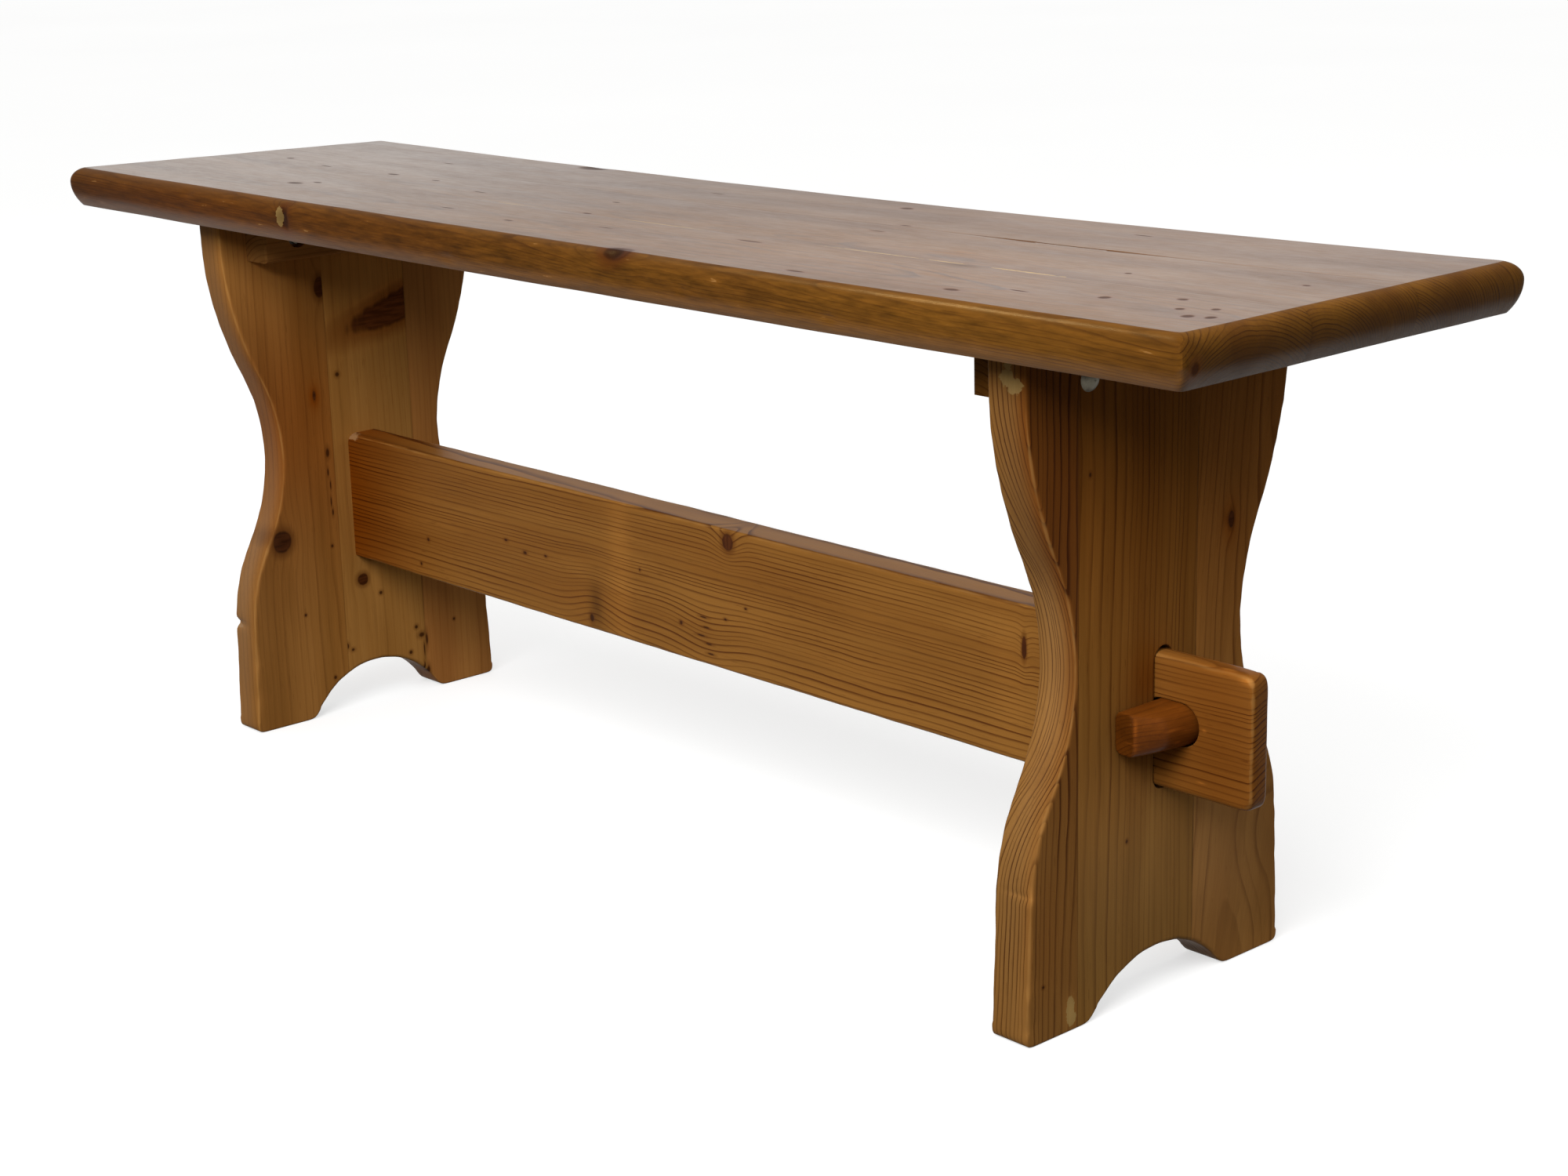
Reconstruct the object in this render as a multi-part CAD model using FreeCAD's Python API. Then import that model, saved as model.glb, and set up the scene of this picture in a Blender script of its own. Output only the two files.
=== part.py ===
import FreeCAD, Part

import math
import os

# Knock-down pine trestle bench. A seat glued up from three boards stands on two
# hourglass end panels, each glued up from three upright staves. A stretcher passes
# through both panels, and a tapered wedge in each through tenon draws the joint tight.
# Cleats under the seat are screwed to it and bolted to the panels.
#
# Lengths are in millimetres. The origin is on the floor under the middle of the seat.
# +X runs along the bench to its right end, -Y is its front and +Z is up.

# Seat
SEAT_LENGTH = 1166.0
SEAT_WIDTH = 306.0
SEAT_HEIGHT = 450.0
SEAT_THICKNESS = 30.0
NOSE_DROP = 11.4
NOSE_TOP_DEPTH = 8.8
NOSE_BOTTOM_DEPTH = 10.4
SEAT_OVERHANG = 141.0
SEAT_SEAM_SHARES = (-0.155, 0.155)

# End panels, with the widths of their outline and the heights where it turns
PANEL_THICKNESS = 29.5
CROWN_WIDTH = 237.0
CROWN_DROP = 16.0
WAIST_WIDTH = 152.8
WAIST_HEIGHT = 225.0
SHOULDER_WIDTH = 229.6
SHOULDER_HEIGHT = 86.0
FOOT_WIDTH = 236.8
UPPER_WAIST_ARC_SHARE = 0.38
LOWER_WAIST_ARC_SHARE = 0.51
ARCH_WIDTH = 125.0
ARCH_HEIGHT = {"left": 37.5, "right": 31.5}
FOOT_CORNER_CHAMFER = 2.5
PANEL_EDGE_CHAMFER = 1.8

# Glue lines between staves, as shares of half the waist
STAVE_SEAM_SHARES = {"left": (-0.37, 0.65), "right": (-0.962, 0.42)}

# Stretcher and its through tenons
RAIL_BOTTOM = 130.2
RAIL_HEIGHT = 103.4
RAIL_THICKNESS = 28.0
RAIL_EDGE_RADIUS = 2.5
TENON_THICKNESS = 15.6
TENON_SETBACK = 2.6
TENON_TOP_SHOULDER = 12.0
TENON_BOTTOM_SHOULDER = 6.5
TENON_REACH = 74.0
TENON_LONG_EDGE_RADIUS = 5.0
TENON_END_CHAMFER = 2.2
SLOT_SIDE_CLEARANCE = 0.9
SLOT_END_CLEARANCE = 3.0

# Wedges, which lie along Y with their thin tip to the front
WEDGE_TIP_WIDTH = 24.6
WEDGE_BUTT_WIDTH = 38.3
WEDGE_HEIGHT = 26.8
WEDGE_LIFT = 1.4
WEDGE_FRONT_REACH = 37.1
WEDGE_BACK_REACH = 32.0
WEDGE_CORNER_RADIUS = 5.0
WEDGE_CLEARANCE = 0.3
WEDGE_HOLE_DRAW = 9.0

# Cleats
CLEAT_LENGTH = 190.0
CLEAT_HEIGHT = 34.0
CLEAT_THICKNESS = 28.0
CLEAT_EDGE_CHAMFER = 1.5
CLEAT_FORWARD_SHIFT = {"left": 0.0, "right": 6.0}

# Bolts through panel and cleat
BOLT_DIAMETER = 6.0
BOLT_HEAD_DIAMETER = 15.0
BOLT_HEAD_HEIGHT = 4.5
BOLT_SPACING = 130.0
BOLT_ABOVE_CLEAT_BOTTOM = {"left": 18.0, "right": 11.0}
BOLT_CLEARANCE = 0.2
BOLT_TAIL = 2.4
COUNTERBORE_DIAMETER = 17.0
COUNTERBORE_DEPTH = 9.0
WASHER_DIAMETER = 13.0
WASHER_THICKNESS = 1.2
NUT_ACROSS_FLATS = 10.0
NUT_HEIGHT = 5.0
NUT_CLEARANCE = 0.1

# Countersunk screws that hold the cleats to the seat
SCREW_DIAMETER = 4.5
SCREW_HEAD_DIAMETER = 9.0
SCREW_HEAD_HEIGHT = 2.6
SCREW_BITE = 18.0
SCREW_SPACING = 108.0
SCREW_CLEARANCE = 0.1

# How far a cutting tool or dividing block runs past what it cuts, and how nearly
# an edge has to lie in a plane to count as part of it
OVERRUN = 5.0
LEVEL_TOLERANCE = 0.01

SEAT_UNDERSIDE = SEAT_HEIGHT - SEAT_THICKNESS
PANEL_OUTER = SEAT_LENGTH / 2 - SEAT_OVERHANG
PANEL_INNER = PANEL_OUTER - PANEL_THICKNESS
TENON_BOTTOM = RAIL_BOTTOM + TENON_BOTTOM_SHOULDER
TENON_TOP = RAIL_BOTTOM + RAIL_HEIGHT - TENON_TOP_SHOULDER
TENON_FRONT = TENON_SETBACK - TENON_THICKNESS / 2
TENON_BACK = TENON_SETBACK + TENON_THICKNESS / 2
TENON_END = PANEL_OUTER + TENON_REACH
WEDGE_AXIS_HEIGHT = (TENON_BOTTOM + TENON_TOP) / 2 + WEDGE_LIFT
WEDGE_TIP = TENON_FRONT - WEDGE_FRONT_REACH
WEDGE_BUTT = TENON_BACK + WEDGE_BACK_REACH
CLEAT_BOTTOM = SEAT_UNDERSIDE - CLEAT_HEIGHT
CLEAT_INNER = PANEL_INNER - CLEAT_THICKNESS

X_AXIS = FreeCAD.Vector(1, 0, 0)
Y_AXIS = FreeCAD.Vector(0, 1, 0)
Z_AXIS = FreeCAD.Vector(0, 0, 1)
ORIGIN = FreeCAD.Vector(0, 0, 0)


def line(start, end):
    return Part.LineSegment(start, end).toShape()


def arc(start, middle, end):
    return Part.Arc(start, middle, end).toShape()


def face(edges):
    return Part.Face(Part.Wire(edges))


def block(low, high):
    """A box between two opposite corners."""
    size = high - low
    return Part.makeBox(size.x, size.y, size.z, low)


def rod(radius, start, end):
    """A round bar between two points."""
    axis = end - start
    return Part.makeCylinder(radius, axis.Length, start, axis)


def in_end_plane(x):
    """A function that places (y, z) points in the upright plane at x."""
    return lambda point: FreeCAD.Vector(x, point[0], point[1])


def runs_lengthwise(edge):
    """Whether a straight edge is parallel to X."""
    box = edge.BoundBox
    return max(box.YLength, box.ZLength) < LEVEL_TOLERANCE


def lies_at(edge, x):
    """Whether a whole edge lies in the upright plane at x."""
    box = edge.BoundBox
    return max(abs(box.XMin - x), abs(box.XMax - x)) < LEVEL_TOLERANCE


def eased_bar(low, high, radius):
    """A box between two corners with its edges along X rounded."""
    bar = block(low, high)
    return bar.makeFillet(radius, [edge for edge in bar.Edges if runs_lengthwise(edge)])


def strips(solid, cuts, low, high):
    """The pieces of a solid between dividing planes across Y, from the front to the back."""
    box = solid.BoundBox
    stations = [low, *cuts, high]
    pieces = []
    for front, back in zip(stations, stations[1:]):
        near = FreeCAD.Vector(box.XMin - OVERRUN, front, box.ZMin - OVERRUN)
        far = FreeCAD.Vector(box.XMax + OVERRUN, back, box.ZMax + OVERRUN)
        pieces.append(solid.common(block(near, far)))
    return pieces


def at_end(shape, side):
    """A shape made for the right end of the bench, placed at the named end."""
    if side == "right":
        return shape
    return shape.mirror(ORIGIN, X_AXIS)


def nose_middle(half, depth, end):
    """Middle of the arc that leaves the nosing's widest line upright and ends at a face."""
    nose = SEAT_HEIGHT - NOSE_DROP
    rise = end - nose
    radius = (rise**2 + depth**2) / (2 * depth)
    angle = math.atan2(rise, radius - depth) / 2
    return (half - radius + radius * math.cos(angle), nose + radius * math.sin(angle))


def nosed_section(half, place):
    """The seat's section across a span of twice half, with the nosing at both edges."""
    outline = (
        (half - NOSE_TOP_DEPTH, SEAT_HEIGHT),
        nose_middle(half, NOSE_TOP_DEPTH, SEAT_HEIGHT),
        (half, SEAT_HEIGHT - NOSE_DROP),
        nose_middle(half, NOSE_BOTTOM_DEPTH, SEAT_UNDERSIDE),
        (half - NOSE_BOTTOM_DEPTH, SEAT_UNDERSIDE),
    )
    right = [place(across, level) for across, level in outline]
    left = [place(-across, level) for across, level in outline]
    edges = [
        line(left[0], right[0]),
        arc(*right[:3]),
        arc(*right[2:]),
        line(right[-1], left[-1]),
        arc(*left[:1:-1]),
        arc(*left[2::-1]),
    ]
    return face(edges)


def screw(grow):
    """One countersunk screw pointing up from the cleat's underside, grown all round."""
    shank = SCREW_DIAMETER / 2 + grow
    head = SCREW_HEAD_DIAMETER / 2 + grow
    length = CLEAT_HEIGHT + SCREW_BITE + grow
    profile = (
        (0, 0),
        (head, 0),
        (shank, SCREW_HEAD_HEIGHT),
        (shank, length),
        (0, length),
    )
    points = [FreeCAD.Vector(radius, 0, level) for radius, level in profile]
    outline = Part.makePolygon([*points, points[0]])
    return Part.Face(outline).revolve(ORIGIN, Z_AXIS, 360)


def cleat_screws(grow):
    """The two screws in the right cleat."""
    middle = CLEAT_INNER + CLEAT_THICKNESS / 2
    row = []
    for place in (-SCREW_SPACING / 2, SCREW_SPACING / 2):
        one = screw(grow)
        one.translate(FreeCAD.Vector(middle, place, CLEAT_BOTTOM))
        row.append(one)
    return row


def make_seat():
    """Front, middle and back board of the seat."""
    along = nosed_section(SEAT_LENGTH / 2, lambda x, z: FreeCAD.Vector(x, -SEAT_WIDTH / 2, z))
    across = nosed_section(SEAT_WIDTH / 2, lambda y, z: FreeCAD.Vector(-SEAT_LENGTH / 2, y, z))
    seat = along.extrude(Y_AXIS * SEAT_WIDTH).common(across.extrude(X_AXIS * SEAT_LENGTH))
    for side in ("left", "right"):
        for hole in cleat_screws(SCREW_CLEARANCE):
            seat = seat.cut(at_end(hole, side))
    seams = [share * SEAT_WIDTH for share in SEAT_SEAM_SHARES]
    reach = SEAT_WIDTH / 2 + OVERRUN
    return strips(seat, seams, -reach, reach)


def s_curve(waist, end, waist_share):
    """Points of two tangent arcs from the waist to a wider place, both ends upright."""
    out = end[0] - waist[0]
    rise = end[1] - waist[1]
    total = (rise**2 + out**2) / (2 * out)
    waist_radius = waist_share * total
    end_radius = total - waist_radius
    waist_centre = (waist[0] + waist_radius, waist[1])
    end_centre = (end[0] - end_radius, end[1])
    turn = math.atan2(rise, waist_radius + end_radius - out)
    waist_middle = (
        waist_centre[0] - waist_radius * math.cos(turn / 2),
        waist_centre[1] + waist_radius * math.sin(turn / 2),
    )
    joint = (
        waist_centre[0] - waist_radius * math.cos(turn),
        waist_centre[1] + waist_radius * math.sin(turn),
    )
    end_middle = (
        end_centre[0] + end_radius * math.cos(turn / 2),
        end_centre[1] - end_radius * math.sin(turn / 2),
    )
    return [waist, waist_middle, joint, end_middle, end]


def panel_side(place):
    """Edges of one upright side of the panel, from its top to the start of the arch."""
    top = (CROWN_WIDTH / 2, SEAT_UNDERSIDE)
    crown = (CROWN_WIDTH / 2, SEAT_UNDERSIDE - CROWN_DROP)
    waist = (WAIST_WIDTH / 2, WAIST_HEIGHT)
    shoulder = (SHOULDER_WIDTH / 2, SHOULDER_HEIGHT)
    foot = (FOOT_WIDTH / 2, 0)
    spring = (ARCH_WIDTH / 2, 0)
    upper = [place(point) for point in s_curve(waist, crown, UPPER_WAIST_ARC_SHARE)]
    lower = [place(point) for point in s_curve(waist, shoulder, LOWER_WAIST_ARC_SHARE)]
    return [
        line(place(top), place(crown)),
        arc(*upper[:1:-1]),
        arc(*upper[2::-1]),
        arc(*lower[:3]),
        arc(*lower[2:]),
        line(place(shoulder), place(foot)),
        line(place(foot), place(spring)),
    ]


def make_panel_blank(side):
    """One end panel in one piece, made at the right end, with its edges eased."""
    place = in_end_plane(PANEL_INNER)
    back = panel_side(place)
    front = panel_side(lambda point: place((-point[0], point[1])))
    half_top = CROWN_WIDTH / 2
    half_arch = ARCH_WIDTH / 2
    top = line(place((-half_top, SEAT_UNDERSIDE)), place((half_top, SEAT_UNDERSIDE)))
    arch = arc(place((half_arch, 0)), place((0, ARCH_HEIGHT[side])), place((-half_arch, 0)))
    blank = face([top, *back, arch, *front[::-1]]).extrude(X_AXIS * PANEL_THICKNESS)
    corners = [
        edge
        for edge in blank.Edges
        if runs_lengthwise(edge) and edge.BoundBox.ZMax < FOOT_CORNER_CHAMFER
    ]
    blank = blank.makeChamfer(FOOT_CORNER_CHAMFER, corners)
    outline = [
        edge
        for edge in blank.Edges
        if (lies_at(edge, PANEL_INNER) or lies_at(edge, PANEL_OUTER))
        and edge.BoundBox.ZMin < SEAT_UNDERSIDE - CROWN_DROP / 2
    ]
    return blank.makeChamfer(PANEL_EDGE_CHAMFER, outline)


def slot_face(place, low, high, middle, radius):
    """A round-ended slot, upright in its plane, around the line at middle."""
    left = middle - radius
    right = middle + radius
    edges = [
        line(place((left, low + radius)), place((left, high - radius))),
        arc(place((left, high - radius)), place((middle, high)), place((right, high - radius))),
        line(place((right, high - radius)), place((right, low + radius))),
        arc(place((right, low + radius)), place((middle, low)), place((left, low + radius))),
    ]
    return face(edges)


def bolt_places(side):
    """Places (y, z) of the two bolts at one end."""
    height = CLEAT_BOTTOM + BOLT_ABOVE_CLEAT_BOTTOM[side]
    return [(-BOLT_SPACING / 2, height), (BOLT_SPACING / 2, height)]


def make_panel(side):
    """Front, middle and back stave of one end panel, made at the right end."""
    panel = make_panel_blank(side)
    slot = slot_face(
        in_end_plane(PANEL_INNER - OVERRUN),
        TENON_BOTTOM - SLOT_END_CLEARANCE,
        TENON_TOP + SLOT_END_CLEARANCE,
        TENON_SETBACK,
        TENON_THICKNESS / 2 + SLOT_SIDE_CLEARANCE,
    )
    panel = panel.cut(slot.extrude(X_AXIS * (PANEL_THICKNESS + OVERRUN * 2)))
    inner = in_end_plane(PANEL_INNER - OVERRUN)
    outer = in_end_plane(PANEL_OUTER + OVERRUN)
    for bolt in bolt_places(side):
        panel = panel.cut(rod(BOLT_DIAMETER / 2 + BOLT_CLEARANCE, inner(bolt), outer(bolt)))
    seams = [share * WAIST_WIDTH / 2 for share in STAVE_SEAM_SHARES[side]]
    reach = max(CROWN_WIDTH, FOOT_WIDTH) / 2 + OVERRUN
    return strips(panel, seams, -reach, reach)


def wedge_width(y):
    """Width of a wedge at a place along it."""
    taper = (WEDGE_BUTT_WIDTH - WEDGE_TIP_WIDTH) / (WEDGE_BUTT - WEDGE_TIP)
    return WEDGE_TIP_WIDTH + taper * (y - WEDGE_TIP)


def make_stretcher():
    """The rail with a long tenon at each end and a wedge hole through each tenon."""
    rail = eased_bar(
        FreeCAD.Vector(-PANEL_INNER, -RAIL_THICKNESS / 2, RAIL_BOTTOM),
        FreeCAD.Vector(PANEL_INNER, RAIL_THICKNESS / 2, RAIL_BOTTOM + RAIL_HEIGHT),
        RAIL_EDGE_RADIUS,
    )
    tenons = eased_bar(
        FreeCAD.Vector(-TENON_END, TENON_FRONT, TENON_BOTTOM),
        FreeCAD.Vector(TENON_END, TENON_BACK, TENON_TOP),
        TENON_LONG_EDGE_RADIUS,
    )
    rims = [edge for edge in tenons.Edges if lies_at(edge, TENON_END) or lies_at(edge, -TENON_END)]
    tenons = tenons.makeChamfer(TENON_END_CHAMFER, rims)
    stretcher = rail.fuse(tenons)
    radius = WEDGE_HEIGHT / 2 + WEDGE_CLEARANCE
    outer_end = PANEL_OUTER + WEDGE_CLEARANCE + wedge_width(TENON_BACK) + WEDGE_CLEARANCE
    hole = slot_face(
        lambda point: FreeCAD.Vector(point[1], TENON_FRONT - OVERRUN, point[0]),
        PANEL_OUTER - WEDGE_HOLE_DRAW,
        outer_end,
        WEDGE_AXIS_HEIGHT,
        radius,
    ).extrude(Y_AXIS * (TENON_THICKNESS + OVERRUN * 2))
    for side in ("left", "right"):
        stretcher = stretcher.cut(at_end(hole, side))
    return stretcher.removeSplitter()


def make_wedge():
    """The wedge at the right end: half round outside, cut flat along the panel."""
    flat = PANEL_OUTER + WEDGE_CLEARANCE
    section = slot_face(
        lambda point: FreeCAD.Vector(point[1], WEDGE_TIP, point[0]),
        flat - WEDGE_HEIGHT - WEDGE_BUTT_WIDTH,
        flat + WEDGE_TIP_WIDTH,
        WEDGE_AXIS_HEIGHT,
        WEDGE_HEIGHT / 2,
    )
    lean = FreeCAD.Vector(WEDGE_BUTT_WIDTH - WEDGE_TIP_WIDTH, WEDGE_BUTT - WEDGE_TIP, 0)
    bar = section.extrude(lean)
    box = bar.BoundBox
    outside = block(
        FreeCAD.Vector(flat, box.YMin - OVERRUN, box.ZMin - OVERRUN),
        FreeCAD.Vector(box.XMax + OVERRUN, box.YMax + OVERRUN, box.ZMax + OVERRUN),
    )
    wedge = bar.common(outside)
    corners = [edge for edge in wedge.Edges if lies_at(edge, flat) and edge.BoundBox.YLength > OVERRUN]
    return wedge.makeFillet(WEDGE_CORNER_RADIUS, corners)


def make_cleat(side):
    """One cleat at the right end, bored for its bolts, nuts and screws."""
    middle = -CLEAT_FORWARD_SHIFT[side]
    bar = block(
        FreeCAD.Vector(CLEAT_INNER, middle - CLEAT_LENGTH / 2, CLEAT_BOTTOM),
        FreeCAD.Vector(PANEL_INNER, middle + CLEAT_LENGTH / 2, SEAT_UNDERSIDE),
    )
    eased = [
        edge
        for edge in bar.Edges
        if lies_at(edge, CLEAT_INNER) and edge.BoundBox.ZMin < SEAT_UNDERSIDE - CLEAT_EDGE_CHAMFER
    ]
    cleat = bar.makeChamfer(CLEAT_EDGE_CHAMFER, eased)
    mouth = in_end_plane(CLEAT_INNER - OVERRUN)
    seat = in_end_plane(CLEAT_INNER + COUNTERBORE_DEPTH)
    back = in_end_plane(PANEL_INNER + OVERRUN)
    for bolt in bolt_places(side):
        cleat = cleat.cut(rod(BOLT_DIAMETER / 2 + BOLT_CLEARANCE, mouth(bolt), back(bolt)))
        cleat = cleat.cut(rod(COUNTERBORE_DIAMETER / 2, mouth(bolt), seat(bolt)))
    for hole in cleat_screws(SCREW_CLEARANCE):
        cleat = cleat.cut(hole)
    return cleat


def make_bolt(place):
    """A domed bolt whose head seats on the panel's outer face."""
    shank = BOLT_DIAMETER / 2
    head = BOLT_HEAD_DIAMETER / 2
    seat = CLEAT_INNER + COUNTERBORE_DEPTH
    tail = seat - WASHER_THICKNESS - NUT_HEIGHT - BOLT_TAIL
    crown_radius = (head**2 + BOLT_HEAD_HEIGHT**2) / (2 * BOLT_HEAD_HEIGHT)
    angle = math.atan2(head, crown_radius - BOLT_HEAD_HEIGHT) / 2
    centre = PANEL_OUTER + BOLT_HEAD_HEIGHT - crown_radius

    def point(x, radius):
        return FreeCAD.Vector(x, place[0] + radius, place[1])

    crest = point(PANEL_OUTER + BOLT_HEAD_HEIGHT, 0)
    bulge = point(centre + crown_radius * math.cos(angle), crown_radius * math.sin(angle))
    corners = [
        point(PANEL_OUTER, head),
        point(PANEL_OUTER, shank),
        point(tail, shank),
        point(tail, 0),
        crest,
    ]
    edges = [arc(crest, bulge, corners[0])]
    edges += [line(start, end) for start, end in zip(corners, corners[1:])]
    return face(edges).revolve(point(0, 0), X_AXIS, 360)


def make_washer(place):
    """A flat washer at the bottom of the cleat's counterbore."""
    seat = in_end_plane(CLEAT_INNER + COUNTERBORE_DEPTH)(place)
    top = seat - X_AXIS * WASHER_THICKNESS
    disc = rod(WASHER_DIAMETER / 2, seat, top)
    return disc.cut(rod(BOLT_DIAMETER / 2 + BOLT_CLEARANCE, seat, top))


def make_nut(place):
    """A hexagon nut on the washer."""
    seat = in_end_plane(CLEAT_INNER + COUNTERBORE_DEPTH - WASHER_THICKNESS)(place)
    corner = NUT_ACROSS_FLATS / math.sqrt(3)
    points = []
    for step in range(7):
        angle = math.radians(60 * step)
        points.append(seat + Y_AXIS * (corner * math.sin(angle)) + Z_AXIS * (corner * math.cos(angle)))
    body = Part.Face(Part.makePolygon(points)).extrude(X_AXIS * -NUT_HEIGHT)
    return body.cut(rod(BOLT_DIAMETER / 2 + NUT_CLEARANCE, seat, seat - X_AXIS * NUT_HEIGHT))


def make_nodes():
    """Every named node of the bench."""
    nodes = {"stretcher": make_stretcher()}
    fasteners = {name: [] for name in ("panel_bolts", "bolt_washers", "bolt_nuts", "cleat_screws")}
    for name, board in zip(("front", "middle", "back"), make_seat()):
        nodes[f"seat_{name}_board"] = board
    for side in ("left", "right"):
        for name, stave in zip(("front", "middle", "back"), make_panel(side)):
            nodes[f"{side}_panel_{name}_stave"] = at_end(stave, side)
        nodes[f"{side}_wedge"] = at_end(make_wedge(), side)
        nodes[f"{side}_cleat"] = at_end(make_cleat(side), side)
        places = bolt_places(side)
        fasteners["panel_bolts"] += [at_end(make_bolt(place), side) for place in places]
        fasteners["bolt_washers"] += [at_end(make_washer(place), side) for place in places]
        fasteners["bolt_nuts"] += [at_end(make_nut(place), side) for place in places]
        fasteners["cleat_screws"] += [at_end(one, side) for one in cleat_screws(0)]
    for name, solids in fasteners.items():
        nodes[name] = Part.makeCompound(solids)
    return nodes


os.makedirs("parts", exist_ok=True)
for node, shape in make_nodes().items():
    shape.exportStep(f"parts/{node}.step")
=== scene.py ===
import math
from collections import namedtuple

import bmesh
import bpy
import numpy as np
from mathutils import Matrix, Vector, geometry, noise


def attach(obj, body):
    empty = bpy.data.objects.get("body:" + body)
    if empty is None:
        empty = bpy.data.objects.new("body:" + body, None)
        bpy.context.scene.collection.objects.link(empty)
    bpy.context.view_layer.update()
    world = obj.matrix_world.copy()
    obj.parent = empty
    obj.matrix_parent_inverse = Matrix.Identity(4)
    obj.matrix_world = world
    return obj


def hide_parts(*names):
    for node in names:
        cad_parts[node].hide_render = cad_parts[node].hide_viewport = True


# Varnished pine trestle bench. Its lengths are in millimetres until a mesh is made.
# The frame is the CAD model's: +X along the bench, -Y its front, +Z up.

MM = 0.001
OUTLINE_STEP = 2.0
SLOT_STEP = 1.5
# Points along the panels' curves, the foot's arch and the round end of a slot
CURVE_POINTS = 24
ARCH_POINTS = 20
SLOT_END_POINTS = 17
# How far beside a rounding its neighbouring ring of points lies
EDGE_SUPPORT = 0.8

# Seat
SEAT_HALF_LENGTH = 583.0
SEAT_HALF_WIDTH = 153.0
SEAT_TOP = 450.0
SEAT_UNDERSIDE = 420.0
NOSE_LEVEL = 438.6
NOSE_TOP_DEPTH = 8.8
NOSE_BOTTOM_DEPTH = 6.4
SEAT_SEAMS = (-47.43, 47.43)
SEAM_BEVEL = 1.0
NOSE_STEPS = 9
NOSE_TOP_SUPPORT = 0.9
NOSE_BOTTOM_SUPPORT = 1.2
SEAT_CORNER_ROUNDS = 4
SEAT_CREASE = 24.0
# Waves of the planed surface: size, seed, height across and height upwards
SEAT_WAVES = (70.0, 1.3, 0.25, 0.2)
SEAT_SEAM_DEPTH = 0.08
SEAT_SEAM_DEPTH_BELOW = 0.05
CRACK_DEPTH = 0.5
CRACK_PLACE = 325.0
CRACK_LENGTH = 58.0
# Bend of the front and back edges: at the middle, tilt and curve towards the ends
SEAT_WARP_FRONT = (0.2, -1.45, 0.95)
SEAT_WARP_BACK = (-4.6, 2.2, 4.1)
# Knocks: centre, radii and push
SEAT_KNOCKS = (
    ((583, -150, 444), (3, 5, 6), (-0.9, 0.5, -0.3)),
    ((583, -152, 428), (4, 4, 4), (-1, 0.8, 0.4)),
    ((151, -153, 437), (6, 4, 3), (0, 0.5, 0)),
    ((187, -153, 434), (5, 4, 3), (0, 0.6, 0)),
    ((-60, -152, 428), (9, 4, 3), (0, 0.5, 0.3)),
    ((318, -152, 430), (7, 4, 3), (0, 0.6, 0.3)),
    ((-398, -152, 444), (8, 4, 3), (0, 0.4, -0.3)),
    ((-262, -155, 439), (4, 5, 6), (0, 0.9, 0)),
    ((120, -150, 449), (6, 5, 4), (0, 0.6, -0.8)),
    ((-262, 139, 450), (12, 6, 6), (0, -0.1, -0.8)),
)

# End panels
PANEL_OUTER = 442.0
PANEL_INNER = 412.5
CROWN_HALF = 118.5
CROWN_LEVEL = 404.0
WAIST = (76.4, 225.0)
SHOULDER = (114.8, 86.0)
FOOT_HALF = 118.4
ARCH_HALF = 62.5
ARCH_HEIGHT = {"left": 37.5, "right": 31.5}
UPPER_WAIST_ARC_SHARE = 0.38
LOWER_WAIST_ARC_SHARE = 0.51
PANEL_EDGE_RADIUS = 2.6
CROWN_EDGE_RADIUS = 0.25
CROWN_EDGE_DEPTH = 3.0
FOOT_EDGE_RADIUS = 1.4
FOOT_EDGE_HEIGHT = 8.0
PANEL_CORNER_ROUNDS = 8
STAVE_SEAM_DEPTH = 0.12
# Uneven wear: layers of noise with their share of the radius, size and seed
PANEL_WEAR = ((0.3, 45.0, 3.1), (0.35, 9.0, 6.4))
PANEL_KNOCKS = {
    "left": (
        ((-440, -117, 89), (9, 8, 3.2), (1.2, 3.6, 0)),
        ((-413, -117, 60), (3, 4, 6), (-0.8, 0.8, 0)),
        ((-413, -118, 30), (3, 4, 9), (-0.9, 0.9, 0)),
    ),
    "right": (
        ((436, -115, 94), (10, 5, 3), (-0.3, 0.9, 0)),
        ((442, -117, 40), (3, 4, 8), (-0.7, 0.7, 0)),
        ((442, -118, 12), (3, 4, 7), (-0.8, 0.8, 0)),
        ((440, 118, 96), (4, 5, 4), (-0.8, -0.8, 0)),
    ),
}
STAVE_SEAMS = {"left": (-28.27, 49.66), "right": (-73.5, 32.09)}

# Stretcher, tenons and wedges
RAIL_LOW = 130.2
RAIL_HIGH = 233.6
RAIL_HALF_THICKNESS = 14.0
RAIL_EDGE_RADIUS = 2.4
RAIL_STATIONS = 111
RAIL_EDGE_POINTS = 7
RAIL_WEAR = ((0.35, 60.0, 5.7), (0.25, 13.0, 2.4))
RAIL_CHIP = 6.0
RAIL_CHIP_LENGTH = 9.0
RAIL_CHIPPED_EDGE = 1
TENON_LOW = 136.7
TENON_HIGH = 221.6
TENON_MIDDLE = 2.6
TENON_HALF_THICKNESS = 7.8
TENON_END = 516.0
TENON_ROOT = 4.0
TENON_LONG_RADIUS = 4.6
TENON_END_RADIUS = 3.4
TENON_END_REACH = 6.0
TENON_CORNER_ROUNDS = 34
TENON_WEAR = ((0.15, 20.0, 8.2),)
SLOT_HALF_WIDTH = 8.7
SLOT_LOW = 133.7
SLOT_HIGH = 224.6
SLOT_EDGE_RADIUS = 0.8
WEDGE_AXIS = 180.55
WEDGE_HALF_HEIGHT = 13.4
WEDGE_TIP = -42.3
WEDGE_BUTT = 42.4
WEDGE_TIP_WIDTH = 24.6
WEDGE_BUTT_WIDTH = 38.3
WEDGE_CLEARANCE = 0.3
WEDGE_CORNER_RADIUS = 5.0
WEDGE_BEVEL = 8.6
WEDGE_BEVEL_LENGTH = 16.0
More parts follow.
